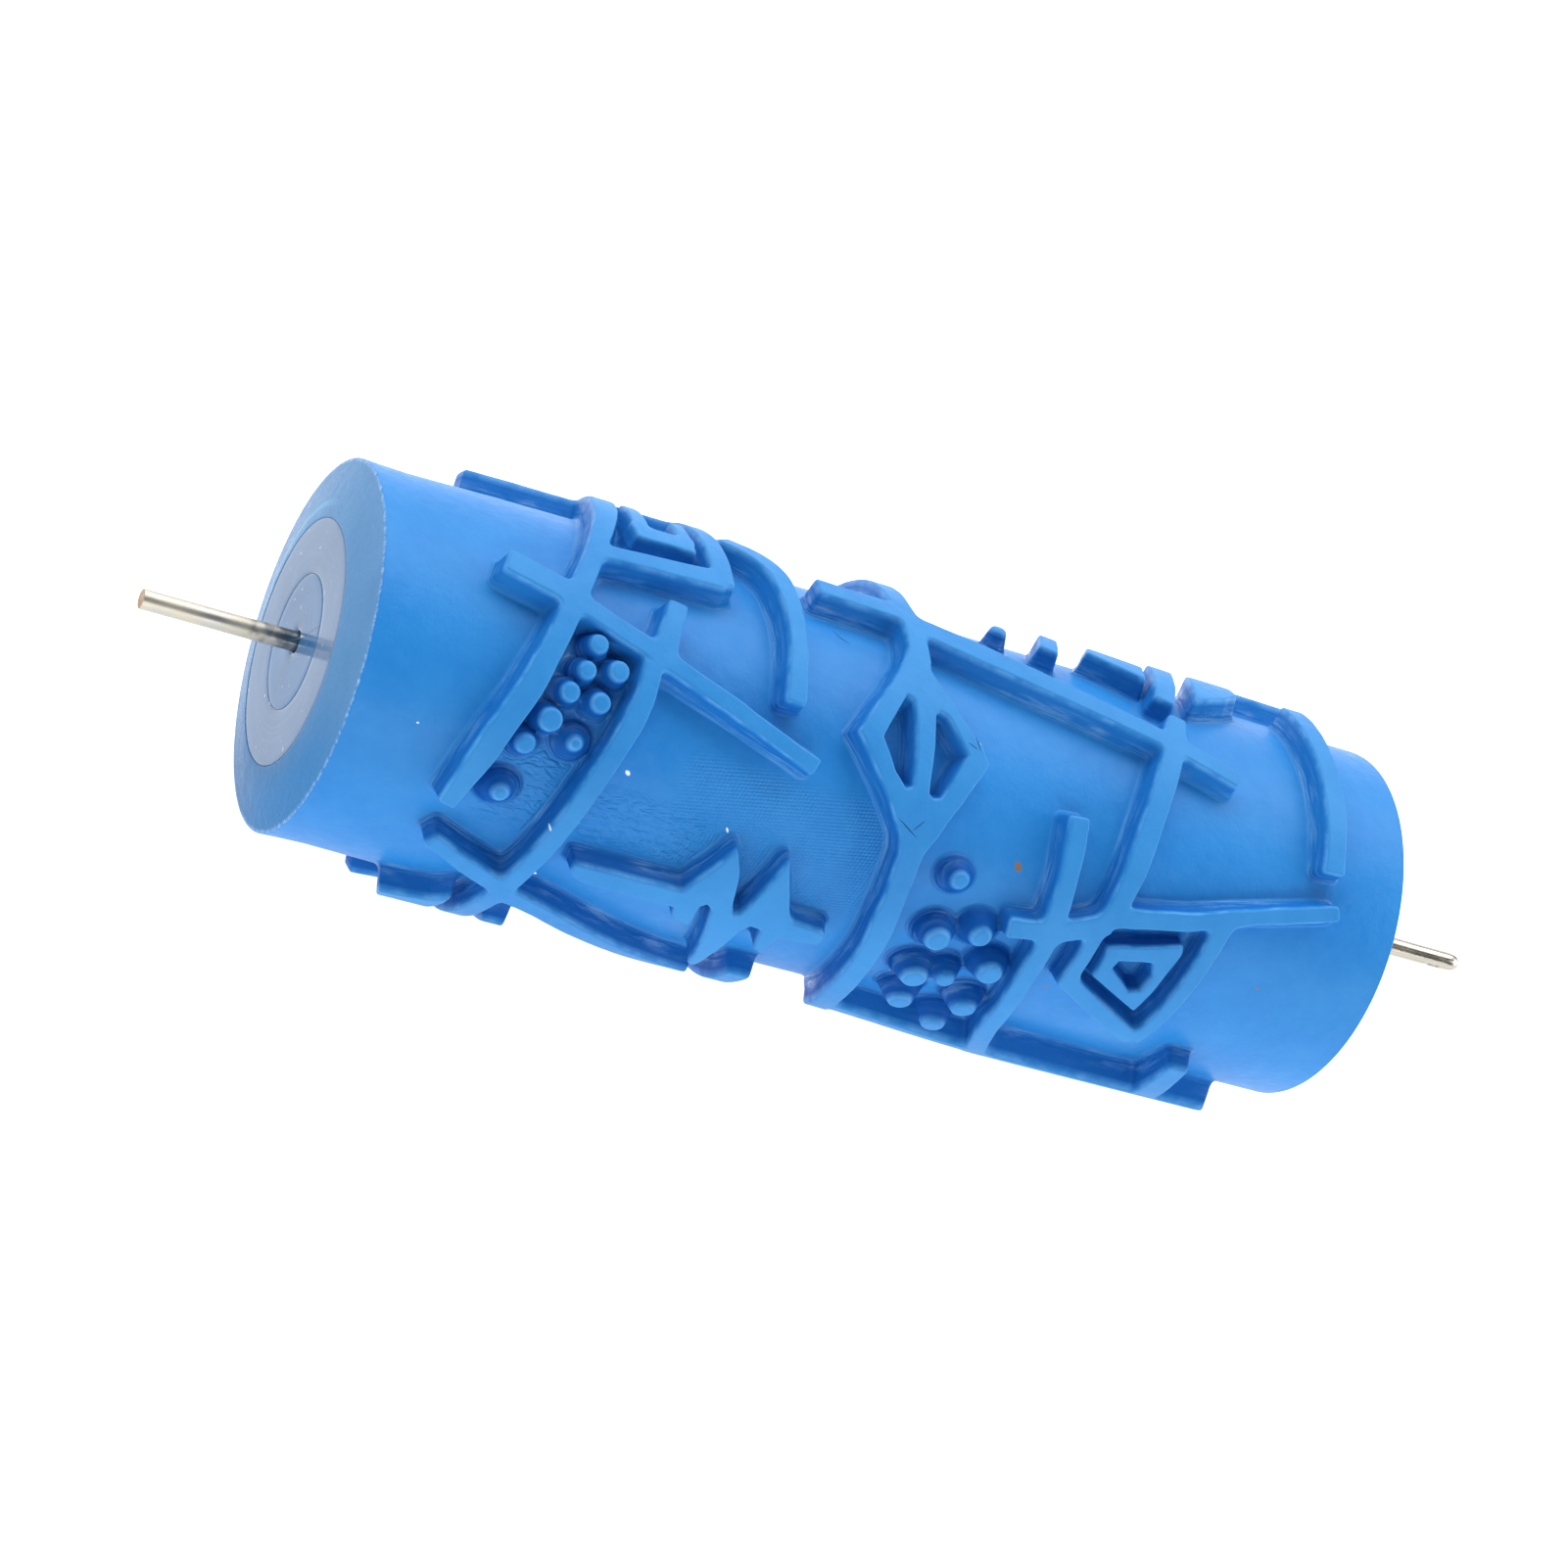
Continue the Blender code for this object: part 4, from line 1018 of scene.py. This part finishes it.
def steel():
    n = Nodes("axle_steel")
    place, along, arc, radius = around_axle(n)
    drawn = n.noise(n.vector(n.product(along, 0.05), n.product(arc, 0.30)), 1.0, 4.0, 0.65)
    smear = n.span(n.noise(place, 150.0, 4.0, 0.6), 0.40, 0.62)
    color = n.mix(n.span(drawn, 0.35, 0.65), (0.27, 0.26, 0.24), (0.48, 0.46, 0.41))
    color = n.mix(n.product(smear, 0.35), color, (0.46, 0.42, 0.33))
    # painted reflection of white: the axle is lighter towards its left end, away from the end face; the same
    # part is also rougher
    lightened = n.span(along, -86.0, -92.0)
    color = n.mix(lightened, color, n.mix(smear, (0.46, 0.45, 0.41), (0.56, 0.52, 0.42)))
    # painted reflection of the dark end face: darker blotches on the axle just beside it
    blotches = n.span(n.noise(place, 420.0, 3.0), 0.42, 0.56)
    painted_dark_reflection = n.product(n.band(along, -93.5, -87.0, 1.0), blotches)
    color = n.mix(n.product(painted_dark_reflection, 0.7), color, (0.14, 0.15, 0.16))
    cut = n.span(along, AXLE_LEFT_X + 0.12, AXLE_LEFT_X + 0.02)
    color = n.mix(cut, color, n.mix(smear, (0.30, 0.20, 0.13), (0.50, 0.41, 0.30)))
    nicks = n.product(n.span(radius, AXLE_R - 0.02, AXLE_R - 0.11), n.span(along, 108.0, 108.5))
    color = n.mix(n.product(nicks, n.span(along, 113.6, 113.2)), color, (0.22, 0.20, 0.18))
    n.set(n.shader.inputs["Base Color"], color)
    n.shader.inputs["Metallic"].default_value = 1.0
    rough = n.math("ADD", n.span(smear, 0.0, 1.0, 0.15, 0.27), n.product(cut, 0.15))
    n.set(n.shader.inputs["Roughness"], n.math("ADD", rough, n.product(lightened, 0.26)))
    n.set(n.shader.inputs["Normal"], n.bump(n.total(n.product(drawn, 0.000012), n.product(smear, 0.000004))))
    return n.material


# ---------------------------------------------------------------- turned pieces

def lathe(name, profile, steps, ring, dent=None):
    """A turned piece from (position, radius) in mm along its section, which closes up if it is a ring."""
    verts = []
    rows = []
    for px, pr in profile:
        if pr == 0.0:
            rows.append([len(verts)] * steps)
            verts.append((px, 0.0, 0.0))
            continue
        rows.append(list(range(len(verts), len(verts) + steps)))
        for k in range(steps):
            angle = math.tau * k / steps
            r = pr - (dent(px, angle) if dent else 0.0)
            verts.append((px, -r * math.sin(angle), r * math.cos(angle)))
    pairs = list(zip(rows, rows[1:]))
    if ring:
        pairs.append((rows[-1], rows[0]))
    faces = []
    for first, second in pairs:
        for k in range(steps):
            m = (k + 1) % steps
            corners = [first[k], second[k], second[m], first[m]]
            faces.append(list(dict.fromkeys(corners)))
    obj = placed_mesh(name, verts, faces)
    obj.data.validate()
    obj.data.set_sharp_from_angle(angle=math.radians(SHARP_DEG))
    return obj


def mirrored(profile, side):
    """The section on one side. The order keeps the faces outward."""
    return [(side * px, pr) for px, pr in (profile if side > 0 else profile[::-1])]


def face_section(face, outer_r, edge, bore_r, mouth, rise, steps):
    """An end face from its outer wall, over the edge and the curved middle, to the mouth of its bore."""
    rim = [(face - depth, outer_r - inset) for depth, inset in edge]
    lip = [(face - depth, bore_r + inset) for depth, inset in mouth]
    outer = rim[-1][1]
    inner = lip[0][1]
    middle = [(face + rise * math.sin(math.pi * k / steps), outer + (inner - outer) * k / steps)
              for k in range(1, steps)]
    return rim + middle + lip


def make_plug(name, side):
    back = PLUG_FACE_X - PLUG_DEPTH
    flange = PLUG_FACE_X - PLUG_FLANGE
    profile = [(back, PLUG_BORE_R + 0.1), (back, PLUG_NECK_R), (flange, PLUG_NECK_R)]
    profile += [(flange, PLUG_R - 0.27), (flange + 0.2, PLUG_R)]
    profile += face_section(PLUG_FACE_X, PLUG_R, PLUG_EDGE, PLUG_BORE_R, PLUG_MOUTH, PLUG_RISE, 8)
    profile.append((back + 0.2, PLUG_BORE_R))
    return lathe(name, mirrored(profile, side), PLUG_STEPS, True)


def make_bush(name, side):
    face = PLUG_FACE_X - BUSH_RECESS
    back = face - BUSH_DEPTH
    profile = [(back, BUSH_BORE_R), (back, BUSH_R - 0.42), (back + 0.3, BUSH_R)]
    profile += face_section(face, BUSH_R, BUSH_EDGE, BUSH_BORE_R, BUSH_MOUTH, BUSH_RISE, 6)
    return lathe(name, mirrored(profile, side), PLUG_STEPS, True)


def nicked(px, angle):
    """How deep the nicks go at one place on the axle, in mm."""
    depth = 0.0
    for at, deg, deepest, length, spread in NICKS:
        turn = (math.degrees(angle) - deg + 180) % 360 - 180
        depth += deepest * math.exp(-((px - at) / length) ** 2 - (turn / spread) ** 2)
    return depth


def make_axle():
    profile = [(AXLE_LEFT_X + px, pr) for px, pr in AXLE_CUT]
    profile += [(AXLE_LEFT_X + 2.0 + 4.0 * k, AXLE_R) for k in range(52)]
    profile += [(px, AXLE_R) for px in (98.5, 104.0, 108.0)]
    # closer rings under the nicks, then the rounded tip
    profile += [(109.0 + 0.25 * k, AXLE_R) for k in range(20)]
    shoulder = AXLE_RIGHT_X - AXLE_TIP
    turns = [math.radians(90 * k / 9) for k in range(1, 9)]
    profile += [(shoulder + AXLE_TIP * math.sin(a), 0.25 + (AXLE_R - 0.25) * math.cos(a)) for a in turns]
    profile += [(AXLE_RIGHT_X, 0.2), (AXLE_RIGHT_X, 0.0)]
    return lathe("steel_axle", profile, AXLE_STEPS, False, dent=nicked)


# ---------------------------------------------------------------- the scene

def fitted(obj, body, node, look):
    obj.data.materials.append(look)
    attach(obj, body)
    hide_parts(node)


make_camera()
make_studio()

fitted(make_sleeve(), "roller", "textured_sleeve", rubber())
for side, word in ((-1, "left"), (1, "right")):
    plug_look = plastic(f"{word}_plug_plastic", *PLUG_LOOK)
    fitted(make_plug(f"{word}_plug", side), "roller", f"{word}_end_plug", plug_look)
    bush_look = plastic(f"{word}_bush_plastic", *BUSH_LOOK, SCRATCHES[word])
    fitted(make_bush(f"{word}_bearing", side), "roller", f"{word}_bush", bush_look)
fitted(make_axle(), "axle", "axle", steel())
core = frame["nodes"]["core_tube"]
core.data.materials.clear()
core.data.materials.append(plastic("core_plastic", *CORE_LOOK))
